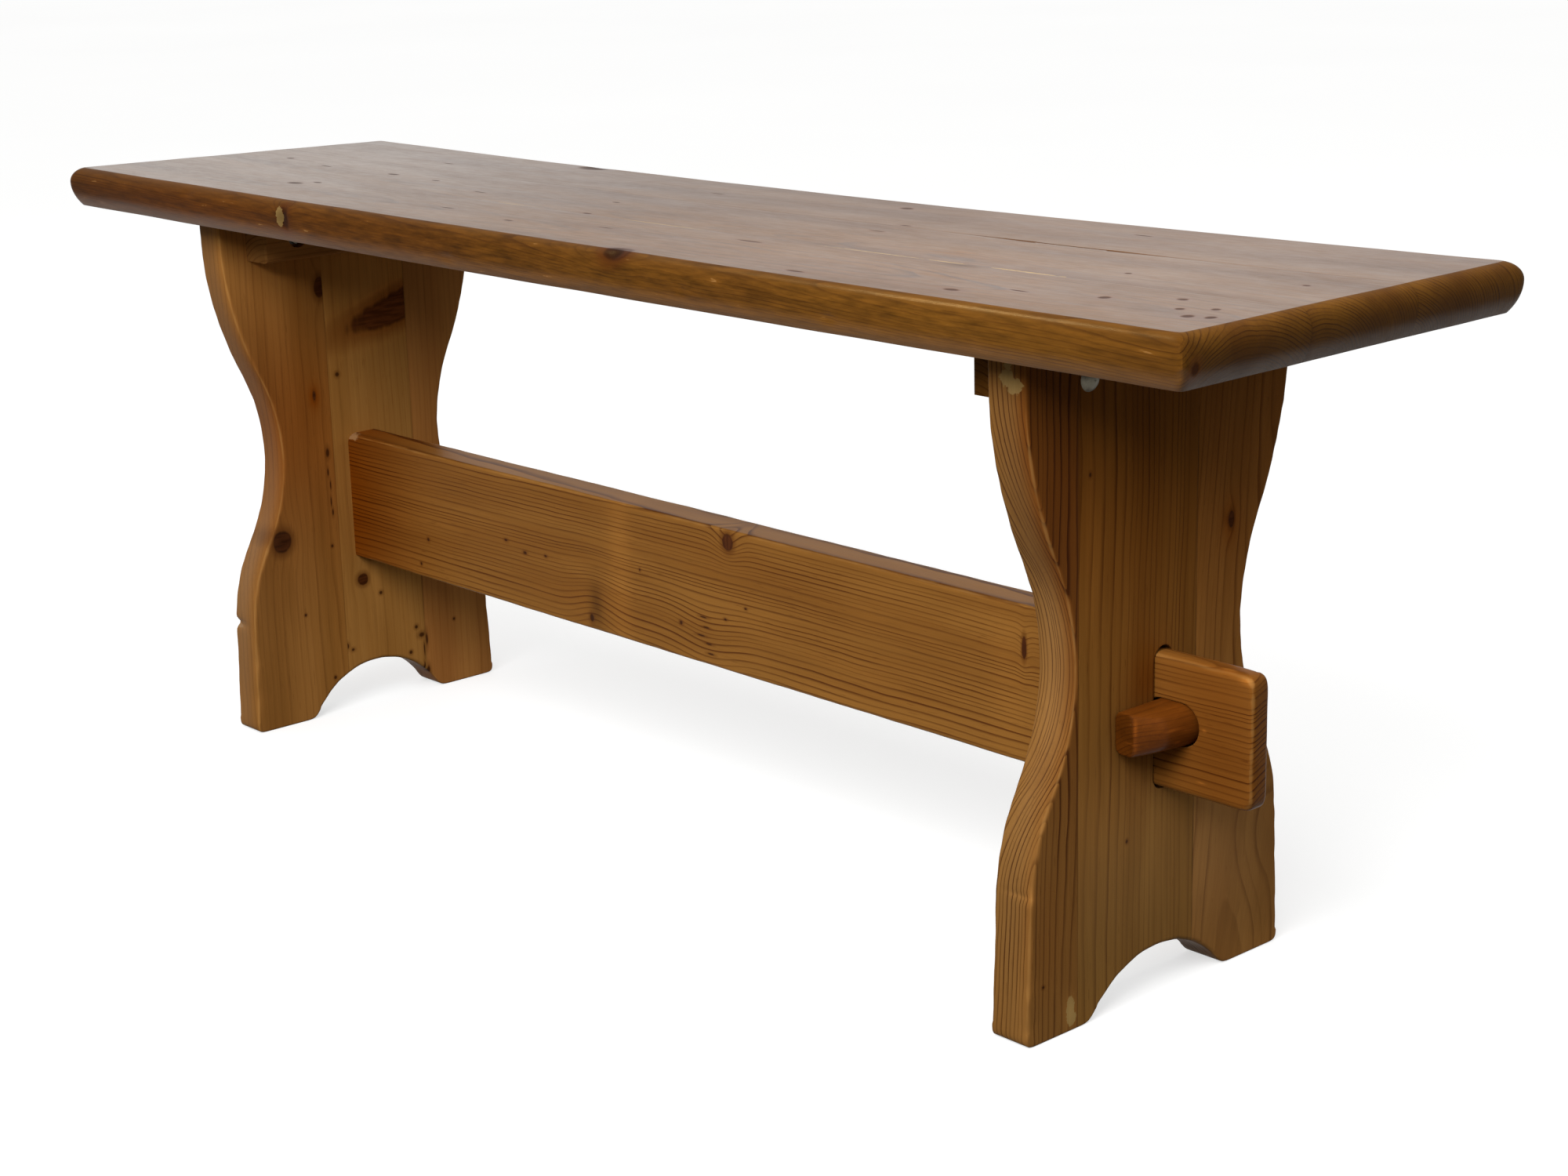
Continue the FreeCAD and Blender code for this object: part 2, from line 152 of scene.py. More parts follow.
WEDGE_BEVEL_CURVE = 1.4
WEDGE_END_RADIUS = 1.4
WEDGE_STATIONS = 30
WEDGE_END_POINTS = 6
WEDGE_ROUND_POINTS = 33
WEDGE_CORNER_POINTS = 9
WEDGE_KNOCKS = (
    ((461, -42.3, 186), (5, 3, 6), (0, 0.9, 0)),
    ((450, -42.3, 174), (5, 3, 5), (0, 0.7, 0)),
    ((466, -38, 190), (4, 4, 4), (-0.6, 0, -0.5)),
    ((468, -30, 176), (4, 5, 4), (-0.6, 0, 0)),
    ((476, 42.4, 182), (5, 3, 6), (0, -0.9, 0)),
)
TENON_KNOCKS = (
    ((514, -5.2, 219), (4, 3, 4), (-0.7, 0.6, -0.8)),
    ((486, -4, 221.6), (7, 4, 3), (0, 0.2, -0.7)),
    ((516, -4, 160), (3, 4, 7), (-0.6, 0.2, 0)),
    ((514, -5.2, 139), (4, 3, 4), (-0.6, 0.6, 0.6)),
)
WEDGE_HOLE_INNER = 433.0
WEDGE_HOLE_OUTER = 475.7
WEDGE_HOLE_RADIUS = 0.9


# Meshes


def grain_noise(point, scale, seed):
    """Smooth noise from -1 to 1 at a point, for features of about the given size."""
    return noise.noise(Vector(point) / scale + Vector((seed, seed * 1.7, seed * 2.3)))


def wear(point, layers):
    """The sum of layers of noise at a point."""
    return sum(share * grain_noise(point, scale, seed) for share, scale, seed in layers)


def resample(points, step):
    """A closed line through the points, divided into even steps."""
    loop = np.vstack([points, points[:1]])
    lengths = np.hypot(*np.diff(loop, axis=0).T)
    along = np.concatenate([[0.0], np.cumsum(lengths)])
    count = int(round(along[-1] / step))
    places = np.linspace(0.0, along[-1], count, endpoint=False)
    return np.column_stack([np.interp(places, along, loop[:, axis]) for axis in (0, 1)])


def relax(loop, rounds, pinned=None):
    """A closed line with its corners worn round, apart from pinned points."""
    loop = loop.copy()
    for _ in range(rounds):
        mean = (np.roll(loop, 1, axis=0) + np.roll(loop, -1, axis=0)) / 2
        moved = (loop + mean) / 2
        loop = moved if pinned is None else np.where(pinned[:, None], loop, moved)
    return loop


def outward(loop):
    """Unit normals of a closed line, to the right of its direction."""
    run = np.roll(loop, -1, axis=0) - np.roll(loop, 1, axis=0)
    run /= np.hypot(run[:, 0], run[:, 1])[:, None]
    return np.column_stack([run[:, 1], -run[:, 0]])


def inside(points, loop):
    """Which points lie inside a closed line."""
    x, y = points[:, 0][:, None], points[:, 1][:, None]
    x0, y0 = loop[:, 0], loop[:, 1]
    x1, y1 = np.roll(x0, -1), np.roll(y0, -1)
    spans = (y0 > y) != (y1 > y)
    with np.errstate(divide="ignore", invalid="ignore"):
        crossing = x0 + (y - y0) * (x1 - x0) / (y1 - y0)
    return (np.sum(spans & (x < crossing), axis=1) % 2).astype(bool)


def enclosed(points, loops):
    """Which points lie inside the first closed line and outside the others."""
    keep = inside(points, loops[0])
    for hole in loops[1:]:
        keep &= ~inside(points, hole)
    return keep


def fill(loops, spacing):
    """Points and triangles that fill the first closed line around the others."""
    boundary = np.vstack(loops)
    low, high = boundary.min(axis=0), boundary.max(axis=0)
    axes = [np.arange(low[axis] + spacing / 2, high[axis], spacing) for axis in (0, 1)]
    grid = np.column_stack([part.ravel() for part in np.meshgrid(*axes)])
    grid = grid[enclosed(grid, loops)]
    gaps = np.sqrt(((grid[:, None, :] - boundary[None, :, :]) ** 2).sum(axis=2)).min(axis=1)
    grid = grid[gaps > spacing * 0.6]
    points = np.vstack([boundary, grid])
    edges = []
    start = 0
    for loop in loops:
        count = len(loop)
        edges += [(start + i, start + (i + 1) % count) for i in range(count)]
        start += count
    found = geometry.delaunay_2d_cdt([Vector(p) for p in points], edges, [], 0, 1e-5)
    places = np.array([tuple(v) for v in found[0]])
    back = [ids[0] for ids in found[3]]
    faces = np.array(found[2])
    kept = faces[enclosed(places[faces].mean(axis=1), loops)]
    return grid, [[back[i] for i in face] for face in kept]


def shell(rings, tubes=(), axis=2, spacing=9.0):
    """Points and faces of a closed solid: rings joined in order, tubes through it and flat ends."""
    parts = (rings, *tubes)
    points, faces, rims = [], [], []
    for loops in parts:
        starts = []
        for loop in loops:
            starts.append(len(points))
            points.extend(loop.tolist())
        count = len(loops[0])
        for low, high in zip(starts, starts[1:]):
            for i in range(count):
                j = (i + 1) % count
                faces.append((low + i, low + j, high + j, high + i))
        rims.append((starts, count))
    flat = [other for other in (0, 1, 2) if other != axis]
    for end in (0, -1):
        numbers = [starts[end] + i for starts, count in rims for i in range(count)]
        grid, triangles = fill([loops[end][:, flat] for loops in parts], spacing)
        level = rings[end][0][axis]
        for place in grid:
            numbers.append(len(points))
            points.append(np.insert(place, axis, level).tolist())
        faces += [tuple(numbers[i] for i in triangle) for triangle in triangles]
    return np.array(points), faces


def edge_rings(loop, radius, low, high, axis, steps=5, walls=3):
    """Rings of a slab between two levels with its edges rounded by a radius for each point."""
    normals = outward(loop)
    curve = [(1.0, 0.0, EDGE_SUPPORT)]
    for step in range(steps + 1):
        turn = math.pi / 2 * step / steps
        curve.append((1 - math.sin(turn), 1 - math.cos(turn), 0.0))
    height = high - low
    places = [(inset, extra, radius * rise) for inset, rise, extra in curve]
    places += [(0.0, 0.0, radius + (height - 2 * radius) * (part / walls)) for part in range(1, walls)]
    places += [(inset, extra, height - radius * rise) for inset, rise, extra in curve[::-1]]
    rings = []
    for inset, extra, lift in places:
        ring = loop - normals * (radius * inset + extra)[:, None]
        rings.append(np.insert(ring, axis, low + lift, axis=1))
    return rings


def place_piece(name, mesh, body, nodes, crease=40.0):
    """A smooth object of a mesh that stands for CAD nodes and rides on their body."""
    mesh.shade_smooth()
    mesh.set_sharp_from_angle(angle=math.radians(crease))
    piece = bpy.data.objects.new(name, mesh)
    bpy.context.scene.collection.objects.link(piece)
    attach(piece, body)
    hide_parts(*nodes)
    return piece


def knock(points, spots):
    """Points pressed in by knocks, each with its centre, radii and push."""
    for centre, radii, push in spots:
        reach = ((points - centre) / radii) ** 2
        points = points + np.exp(-reach.sum(axis=1))[:, None] * push
    return points


def cut_across(form, y, sign, clear=False):
    """The points and edges of a cut through a solid at a plane across Y."""
    geom = [*form.verts, *form.edges, *form.faces]
    plane = dict(plane_co=(0, y, 0), plane_no=(0, sign, 0), dist=1e-6)
    return bmesh.ops.bisect_plane(form, geom=geom, clear_outer=clear, **plane)["geom_cut"]


def split(points, faces, seams=(), thin=0, depth=None):
    """Closed meshes of a solid cut apart at planes across Y, with a shallow groove along each seam.

    The groove is pressed in along the thin axis, by a depth that depends on the place.
    """
    whole = bpy.data.meshes.new("whole")
    whole.from_pydata((np.asarray(points) * MM).tolist(), [], faces)
    stations = [-math.inf, *(seam * MM for seam in seams), math.inf]
    levels = [vert.co[thin] for vert in whole.vertices]
    middle = (min(levels) + max(levels)) / 2
    meshes = []
    for front, back in zip(stations, stations[1:]):
        form = bmesh.new()
        form.from_mesh(whole)
        bmesh.ops.remove_doubles(form, verts=form.verts, dist=1e-7)
        for station, sign in ((front, -1), (back, 1)):
            if math.isinf(station):
                continue
            cut = cut_across(form, station, sign, clear=True)
            rim = [item for item in cut if isinstance(item, bmesh.types.BMEdge)]
            bmesh.ops.triangle_fill(form, edges=rim, use_beauty=True)
            cut_across(form, station - sign * SEAM_BEVEL * MM, sign)
            for vert in form.verts:
                if abs(vert.co.y - station) < 1e-6:
                    press = depth(*(vert.co / MM)) * MM
                    vert.co[thin] -= math.copysign(press, vert.co[thin] - middle)
        bmesh.ops.recalc_face_normals(form, faces=form.faces)
        mesh = bpy.data.meshes.new("board")
        form.to_mesh(mesh)
        form.free()
        meshes.append(mesh)
    bpy.data.meshes.remove(whole)
    return meshes


# Pieces


BOARD_ORDER = ("front", "middle", "back")


def nose_profile(depth, end, steps):
    """Inset and level along the nosing's arc from its widest line to a face of the seat."""
    rise = end - NOSE_LEVEL
    radius = (rise**2 + depth**2) / (2 * depth)
    turn = math.atan2(rise, radius - depth)
    points = []
    for step in range(steps + 1):
        angle = turn * step / steps
        points.append((radius - radius * math.cos(angle), NOSE_LEVEL + radius * math.sin(angle)))
    return points


def seat_warp(x, y):
    """How far use and damp have bent the seat at a place."""
    run = x / SEAT_HALF_LENGTH
    edges = (SEAT_WARP_FRONT, SEAT_WARP_BACK)
    front, back = (middle + tilt * run + curve * run**2 for middle, tilt, curve in edges)
    return front + (back - front) * (y / SEAT_HALF_WIDTH + 1) / 2


def seat_groove(x, y, z):
    """How deep a seam of the seat has opened at a place."""
    if z < (SEAT_TOP + SEAT_UNDERSIDE) / 2:
        return SEAT_SEAM_DEPTH_BELOW
    crack = math.exp(-(((x - CRACK_PLACE) / CRACK_LENGTH) ** 2)) if y > 0 else 0.0
    return SEAT_SEAM_DEPTH + CRACK_DEPTH * crack


def box_loop(low, high, step, rounds):
    """A rectangle in the plane, counterclockwise, with its corners worn round."""
    corners = np.array([(low[0], low[1]), (high[0], low[1]), (high[0], high[1]), (low[0], high[1])])
    return relax(resample(corners, step), rounds)


def make_seat():
    """The three boards of the seat, bent a little between the panels by use."""
    half = np.array((SEAT_HALF_LENGTH, SEAT_HALF_WIDTH))
    loop = box_loop(-half, half, OUTLINE_STEP, SEAT_CORNER_ROUNDS)
    below = nose_profile(NOSE_BOTTOM_DEPTH, SEAT_UNDERSIDE, NOSE_STEPS)[::-1]
    above = nose_profile(NOSE_TOP_DEPTH, SEAT_TOP, NOSE_STEPS)
    profile = [(NOSE_BOTTOM_DEPTH + NOSE_BOTTOM_SUPPORT, SEAT_UNDERSIDE), *below, *above[1:]]
    profile.append((NOSE_TOP_DEPTH + NOSE_TOP_SUPPORT, SEAT_TOP))
    rings = []
    for inset, level in profile:
        rings.append(np.insert(loop * (1 - inset / half), 2, level, axis=1))
    points, faces = shell(rings, axis=2)
    size, seed, across, upwards = SEAT_WAVES
    waves = np.array([grain_noise((x, y * 2, z * 3), size, seed) for x, y, z in points])
    points[:, 1] += across * waves
    points[:, 2] += upwards * waves
    points = knock(points, SEAT_KNOCKS)
    points[:, 2] += seat_warp(points[:, 0], points[:, 1])
    pieces = {}
    for part, mesh in zip(BOARD_ORDER, split(points, faces, SEAT_SEAMS, 2, seat_groove)):
        node = f"seat_{part}_board"
        pieces[node] = place_piece(f"{node}_pine", mesh, "frame", [node], SEAT_CREASE)
    return pieces


def arc(centre, radii, angles):
    """Points of an arc at the given angles."""
    return np.column_stack([np.cos(angles), np.sin(angles)]) * radii + centre


def s_curve(waist, end, waist_share):
    """Points of two tangent arcs from the waist to a wider place."""
    out, rise = end[0] - waist[0], end[1] - waist[1]
    total = (rise**2 + out**2) / (2 * out)
    near, far = waist_share * total, (1 - waist_share) * total
    turn = math.atan2(rise, total - out)
    angles = np.linspace(0.0, turn, CURVE_POINTS)
    first = arc((waist[0] + near, waist[1]), (-near, near), angles)
    second = arc((end[0] - far, end[1]), (far, -far), angles[::-1])
    return np.vstack([first, second[1:]])


def panel_loop(side):
    """The panel's outline in (y, z), worn round at its corners."""
    upper = s_curve(WAIST, (CROWN_HALF, CROWN_LEVEL), UPPER_WAIST_ARC_SHARE)[::-1]
    lower = s_curve(WAIST, SHOULDER, LOWER_WAIST_ARC_SHARE)
    height = ARCH_HEIGHT[side]
    radius = (ARCH_HALF**2 + height**2) / (2 * height)
    reach = math.asin(ARCH_HALF / radius)
    arch = arc((height - radius, 0.0), radius, np.linspace(reach, 0.0, ARCH_POINTS))[:, ::-1]
    half = np.vstack([[(CROWN_HALF, SEAT_UNDERSIDE)], upper, lower[1:], [(FOOT_HALF, 0.0)], arch])
    whole = np.vstack([half, (half * (-1, 1))[::-1][1:]])
    loop = resample(whole[::-1], OUTLINE_STEP)
    pinned = loop[:, 1] > SEAT_UNDERSIDE - 0.5
    return relax(loop, PANEL_CORNER_ROUNDS, pinned)


def stadium(low, high, middle, half):
    """A round-ended slot in (across, along), clockwise."""
    angles = np.linspace(0.0, math.pi, SLOT_END_POINTS)
    top = arc((middle, high - half), (-half, half), angles)
    bottom = arc((middle, low + half), (half, -half), angles)
    return resample(np.vstack([top, bottom]), SLOT_STEP)


def stave_groove(*place):
    """How deep a seam of a panel has opened, the same at every place."""
    return STAVE_SEAM_DEPTH


def make_panel(side):
    """The three staves of one end panel."""
    loop = panel_loop(side)
    level = loop[:, 1]
    radius = PANEL_EDGE_RADIUS * (1 + np.array([wear((y, z, 0), PANEL_WEAR) for y, z in loop]))
    radius = np.where(level > SEAT_UNDERSIDE - CROWN_EDGE_DEPTH, CROWN_EDGE_RADIUS, radius)
    radius = np.where(level < FOOT_EDGE_HEIGHT, FOOT_EDGE_RADIUS, radius)
    rings = edge_rings(loop, radius, PANEL_INNER, PANEL_OUTER, axis=0)
    slot = stadium(SLOT_LOW, SLOT_HIGH, TENON_MIDDLE, SLOT_HALF_WIDTH)
    tube = edge_rings(slot, np.full(len(slot), SLOT_EDGE_RADIUS), PANEL_INNER, PANEL_OUTER, axis=0)
    points, faces = shell(rings, [tube], axis=0)
    if side == "left":
        points = points * (-1, 1, 1)
    points = knock(points, PANEL_KNOCKS[side])
    pieces = {}
    for part, mesh in zip(BOARD_ORDER, split(points, faces, STAVE_SEAMS[side], 0, stave_groove)):
        node = f"{side}_panel_{part}_stave"
        pieces[node] = place_piece(f"{node}_pine", mesh, "frame", [node])
    return pieces


def rail_section(radii):
    """The rail's section in (y, z) with a radius for each of its four long edges."""
    middle = np.array((0.0, (RAIL_LOW + RAIL_HIGH) / 2))
    half = np.array((RAIL_HALF_THICKNESS, (RAIL_HIGH - RAIL_LOW) / 2))
    points = []
    for number, radius in enumerate(radii):
        turn = math.pi / 2 * number
        out = np.sign((math.cos(turn + math.pi / 4), math.sin(turn + math.pi / 4)))
        centre = middle + out * (half - radius)
        bend = arc((0.0, 0.0), 1.0, turn + np.linspace(0.0, math.pi / 2, RAIL_EDGE_POINTS))
        first, last = bend[0], bend[-1]
        points.append(centre + radius * first - EDGE_SUPPORT * last)
        points.extend(centre + radius * bend)
        points.append(centre + radius * last - EDGE_SUPPORT * first)
    return np.array(points)


def rail_solid():
    """Points and faces of the rail between the panels, with its chipped edge."""
    rings = []
    for x in np.linspace(-PANEL_INNER, PANEL_INNER, RAIL_STATIONS):
        radii = [RAIL_EDGE_RADIUS * (1 + wear((x, edge * 90.0, 0), RAIL_WEAR)) for edge in range(4)]
        radii[RAIL_CHIPPED_EDGE] += RAIL_CHIP * math.exp(-(((x + PANEL_INNER) / RAIL_CHIP_LENGTH) ** 2))
        rings.append(np.insert(rail_section(radii), 0, x, axis=1))
    return shell(rings, axis=0)


def tenon_solid():
    """Points and faces of the right tenon with the hole for its wedge."""
    corners = (PANEL_INNER - TENON_ROOT, TENON_LOW), (TENON_END, TENON_HIGH)
    loop = box_loop(*corners, SLOT_STEP, TENON_CORNER_ROUNDS)
    radius = np.where(loop[:, 0] > TENON_END - TENON_END_REACH, TENON_END_RADIUS, TENON_LONG_RADIUS)
    radius = radius * [1 + wear((x, z, 0), TENON_WEAR) for x, z in loop]
    low, high = TENON_MIDDLE - TENON_HALF_THICKNESS, TENON_MIDDLE + TENON_HALF_THICKNESS
    rings = edge_rings(loop, radius, low, high, axis=1)
    half = WEDGE_HALF_HEIGHT + WEDGE_CLEARANCE
    hole = stadium(WEDGE_HOLE_INNER, WEDGE_HOLE_OUTER, WEDGE_AXIS, half)[::-1, ::-1]
    tube = edge_rings(hole, np.full(len(hole), WEDGE_HOLE_RADIUS), low, high, axis=1)
    points, faces = shell(rings, [tube], axis=1, spacing=6.0)
    return knock(points, TENON_KNOCKS), faces


def make_stretcher():
    """The rail and its two tenons."""
    points, faces = tenon_solid()
    all_points, all_faces = [], []
    for part, part_faces in (rail_solid(), (points, faces), (points * (-1, 1, 1), faces)):
        start = len(all_points)
        all_points.extend(part)
        all_faces += [tuple(start + i for i in face) for face in part_faces]
    (mesh,) = split(all_points, all_faces)
    return place_piece("stretcher_pine", mesh, "frame", ["stretcher"])


def wedge_loop(width, inset, bevel):
    """A wedge's section in (x, z): flat along the panel, half round outside and flattened by a bevel."""
    half = WEDGE_HALF_HEIGHT - inset
    corner = WEDGE_CORNER_RADIUS - inset * 0.5
    quarter = math.pi / 2
    turns = np.linspace(-quarter, quarter, WEDGE_ROUND_POINTS)
    swell = arc((width - inset - half, 0.0), (half - bevel, half), turns)
    upper = arc((inset + corner, half - corner), corner, np.linspace(quarter, math.pi, WEDGE_CORNER_POINTS))
    lower = (upper * (1, -1))[::-1]
    return np.vstack([swell, upper, lower])


def make_wedge(side):
    """One wedge, bruised at its ends and bevelled at its tip."""
    radius = WEDGE_END_RADIUS
    turns = np.linspace(0.0, math.pi / 2, WEDGE_END_POINTS)
    first = [(WEDGE_TIP + radius * (1 - math.cos(a)), radius * (1 - math.sin(a))) for a in turns]
    middle = [(y, 0.0) for y in np.linspace(WEDGE_TIP + radius, WEDGE_BUTT - radius, WEDGE_STATIONS)[1:-1]]
    last = [(WEDGE_BUTT - (y - WEDGE_TIP), inset) for y, inset in first[::-1]]
    rings = []
    for y, inset in first + middle + last:
        bevel = WEDGE_BEVEL * max(0.0, 1 - (y - WEDGE_TIP) / WEDGE_BEVEL_LENGTH) ** WEDGE_BEVEL_CURVE
        share = (y - WEDGE_TIP) / (WEDGE_BUTT - WEDGE_TIP)
        width = WEDGE_TIP_WIDTH + share * (WEDGE_BUTT_WIDTH - WEDGE_TIP_WIDTH)
        section = wedge_loop(width, inset, bevel) + (PANEL_OUTER + WEDGE_CLEARANCE, WEDGE_AXIS)
        rings.append(np.insert(section, 1, y, axis=1))
    points, faces = shell(rings, axis=1, spacing=3.0)
    points = knock(points, WEDGE_KNOCKS)
    if side == "left":
        points = points * (-1, 1, 1)
    (mesh,) = split(points, faces)
    node = f"{side}_wedge"
    return place_piece(f"{node}_wood", mesh, node, [node])


# Materials


class Shader:
    """A node tree, built from nested calls."""

    def __init__(self, tree):
        self.tree = tree

    def add(self, kind, *inputs, **settings):
        """A new node with its settings and its first inputs."""
        node = self.tree.nodes.new(kind)
        for name, value in settings.items():
            setattr(node, name, value)
        for socket, value in zip(node.inputs, inputs):
            self.feed(socket, value)
        return node

    def feed(self, socket, value):
        """Links a socket or sets its value, and leaves it alone for None."""
        if isinstance(value, bpy.types.NodeSocket):
            self.tree.links.new(value, socket)
        elif value is not None:
            socket.default_value = value

    def wire(self, node, inputs):
        """Feeds a node's inputs by name."""
        for name, value in inputs.items():
            self.feed(node.inputs[name], value)
        return node

    def surface(self, looks):
        """The material's surface with the given looks."""
        surface = self.wire(self.add("ShaderNodeBsdfPrincipled"), looks)
        self.add("ShaderNodeOutputMaterial", surface.outputs[0])

    def math(self, operation, *inputs, clamp=False):
        return self.add("ShaderNodeMath", *inputs, operation=operation, use_clamp=clamp).outputs[0]

    def times(self, *inputs, clamp=False):
        return self.math("MULTIPLY", *inputs, clamp=clamp)

    def plus(self, value, factor, base):
        """The base with so many times the value added."""
        return self.math("MULTIPLY_ADD", value, factor, base)

    def sway(self, value, amount, base):
        """The base moved up and down by noise that lies around a half."""
        return self.plus(self.math("SUBTRACT", value, 0.5), amount, base)

    def vector(self, operation, *inputs):
        node = self.add("ShaderNodeVectorMath", *inputs, operation=operation)
        return node.outputs["Value" if operation == "LENGTH" else "Vector"]

    def parts(self, vector):
        return self.add("ShaderNodeSeparateXYZ", vector).outputs

    def joined(self, *parts):
        return self.add("ShaderNodeCombineXYZ", *parts).outputs[0]

    def grey(self, value):
        return self.add("ShaderNodeCombineColor", value, value, value).outputs[0]

    def remap(self, value, low, high, start=0.0, end=1.0):
        """A smooth step from start to end while the value goes from low to high."""
        inputs = (value, low, high, start, end)
        return self.add("ShaderNodeMapRange", *inputs, interpolation_type="SMOOTHSTEP").outputs[0]

    def noise(self, place, detail=2.0, roughness=0.5):
        return self.add("ShaderNodeTexNoise", place, None, 1.0, detail, roughness).outputs[0]

    def scaled(self, place, scale, shift=(0.0, 0.0, 0.0)):
        return self.vector("MULTIPLY", self.vector("ADD", place, shift), scale)

    def streaks(self, place, long, wide, shift=(0.0, 0.0, 0.0), detail=2.0, roughness=0.5):
        """Noise with features of about this length along the grain and this width across it."""
        return self.noise(self.scaled(place, (1 / long, 1 / wide, 1 / wide), shift), detail, roughness)

    def mix(self, factor, low, high, blend_type="MIX"):
        node = self.add("ShaderNodeMix", data_type="RGBA", blend_type=blend_type)
        for index, value in ((0, factor), (6, low), (7, high)):
            self.feed(node.inputs[index], value)
        return node.outputs[2]


def linear(red, green, blue):
    """A linear colour with alpha from values on the screen from 0 to 255."""
    parts = []
    for value in (red, green, blue):
        share = value / 255
        parts.append(share / 12.92 if share <= 0.04045 else ((share + 0.055) / 1.055) ** 2.4)
    return (*parts, 1.0)


# A redder, darker tint that, where its marks lie in shade, is a painted shade
RUDDY = linear(218, 168, 88)
WORN_RIM = linear(168, 122, 66)
KNOT_HALO = linear(88, 46, 13)
KNOT_HEART = (linear(58, 27, 8), linear(80, 41, 16))
KNOT_RING = linear(46, 20, 6)
PITCH_HALO = linear(84, 42, 12)
PITCH = linear(54, 26, 8)
FILLER = (linear(152, 122, 72), linear(136, 106, 60))
FLECK = linear(166, 122, 70)
BARE_WOOD = linear(156, 116, 76)
# Grey of a painted sheen, standing in for reflections of pale surroundings
DUST = linear(112, 106, 94)
ZINC = (linear(66, 62, 53), linear(90, 86, 75))

PINE_NUMBERS = (
    "Spacing", "Wander", "Contrast", "Swell", "Knot", "Speck", "Putty", "Bare",
    "Gleam", "Ruddy", "Scuff", "Dust", "Wear", "End",
)
PINE_COLOURS = ("Early", "Late", "Deep")
PINE_SOCKETS = (
    ("INPUT", "NodeSocketVector", ("Place",)),
    ("INPUT", "NodeSocketFloat", PINE_NUMBERS),
    ("INPUT", "NodeSocketColor", PINE_COLOURS),
    ("OUTPUT", "NodeSocketColor", ("Color",)),
    ("OUTPUT", "NodeSocketFloat", ("Roughness", "Height", "Gloss")),
)


def late_wood(s, given, medium, small):
    """The dark late wood of the growth rings, which slow noise and knots bend."""
    place = given["Place"]
    wide = s.streaks(place, 420, 150, detail=1.0)
    reach = s.vector("LENGTH", s.vector("MULTIPLY", place, (0, 1, 1)))
    reach = s.sway(wide, given["Wander"], reach)
    reach = s.sway(medium, 4.0, reach)
    reach = s.sway(small, 0.7, reach)
    reach = s.math("ADD", reach, given["Swell"])
    phase = s.math("DIVIDE", reach, given["Spacing"])
    turn = s.times(phase, 0.21)
    pace = s.add("ShaderNodeTexNoise", None, turn, 1.0, 1.0, 0.5, noise_dimensions="1D")
    phase = s.plus(pace.outputs[0], 2.6, phase)
    ring = s.math("FRACT", phase)
    fate = s.add("ShaderNodeTexWhiteNoise", None, s.math("FLOOR", phase), noise_dimensions="1D")
    late = s.math("POWER", s.remap(ring, 0.48, 0.93), 2.0)
    late = s.times(late, s.remap(ring, 0.94, 1.0, 1.0, 0.0))
    late = s.times(late, s.plus(fate.outputs[0], 0.7, 0.4))
    fade = s.streaks(place, 110, 22, (70, 20, 9))
    late = s.times(late, s.remap(fade, 0.25, 0.7, 0.45, 1.15))
    late = s.times(late, s.remap(given["End"], 0.4, 0.9, 1.0, 1.7))
    return s.times(late, given["Contrast"], clamp=True)


def ground_colour(s, given, late, medium, fibre, rub):
    """Early and late wood, fibres and short pores, darker on the end grain, and a redder tint that in places
    is painted shade.
    """
    place = given["Place"]
    tone = s.streaks(place, 300, 34, (3, 90, 40), 3.0, 0.55)
    pore = s.streaks(place, 16, 0.9, (5, 40, 2), 1.0)
    colour = s.mix(s.remap(tone, 0.3, 0.72), given["Early"], given["Deep"])
    colour = s.mix(late, colour, given["Late"])
    colour = s.mix(s.remap(pore, 0.66, 0.8, 0.0, 0.45), colour, given["Late"])
    shade = s.sway(fibre, 0.34, 1.0)
    shade = s.sway(medium, 0.22, shade)
    shade = s.plus(s.times(s.math("SUBTRACT", rub, 0.5), given["Scuff"]), 1.3, shade)
    shade = s.times(shade, s.remap(given["End"], 0.45, 0.95, 1.0, 0.72))
    colour = s.mix(1.0, colour, s.grey(shade), "MULTIPLY")
    # Redder and darker where marked: partly the wood's tint, partly painted shade
    return s.mix(given["Ruddy"], colour, RUDDY, "MULTIPLY")


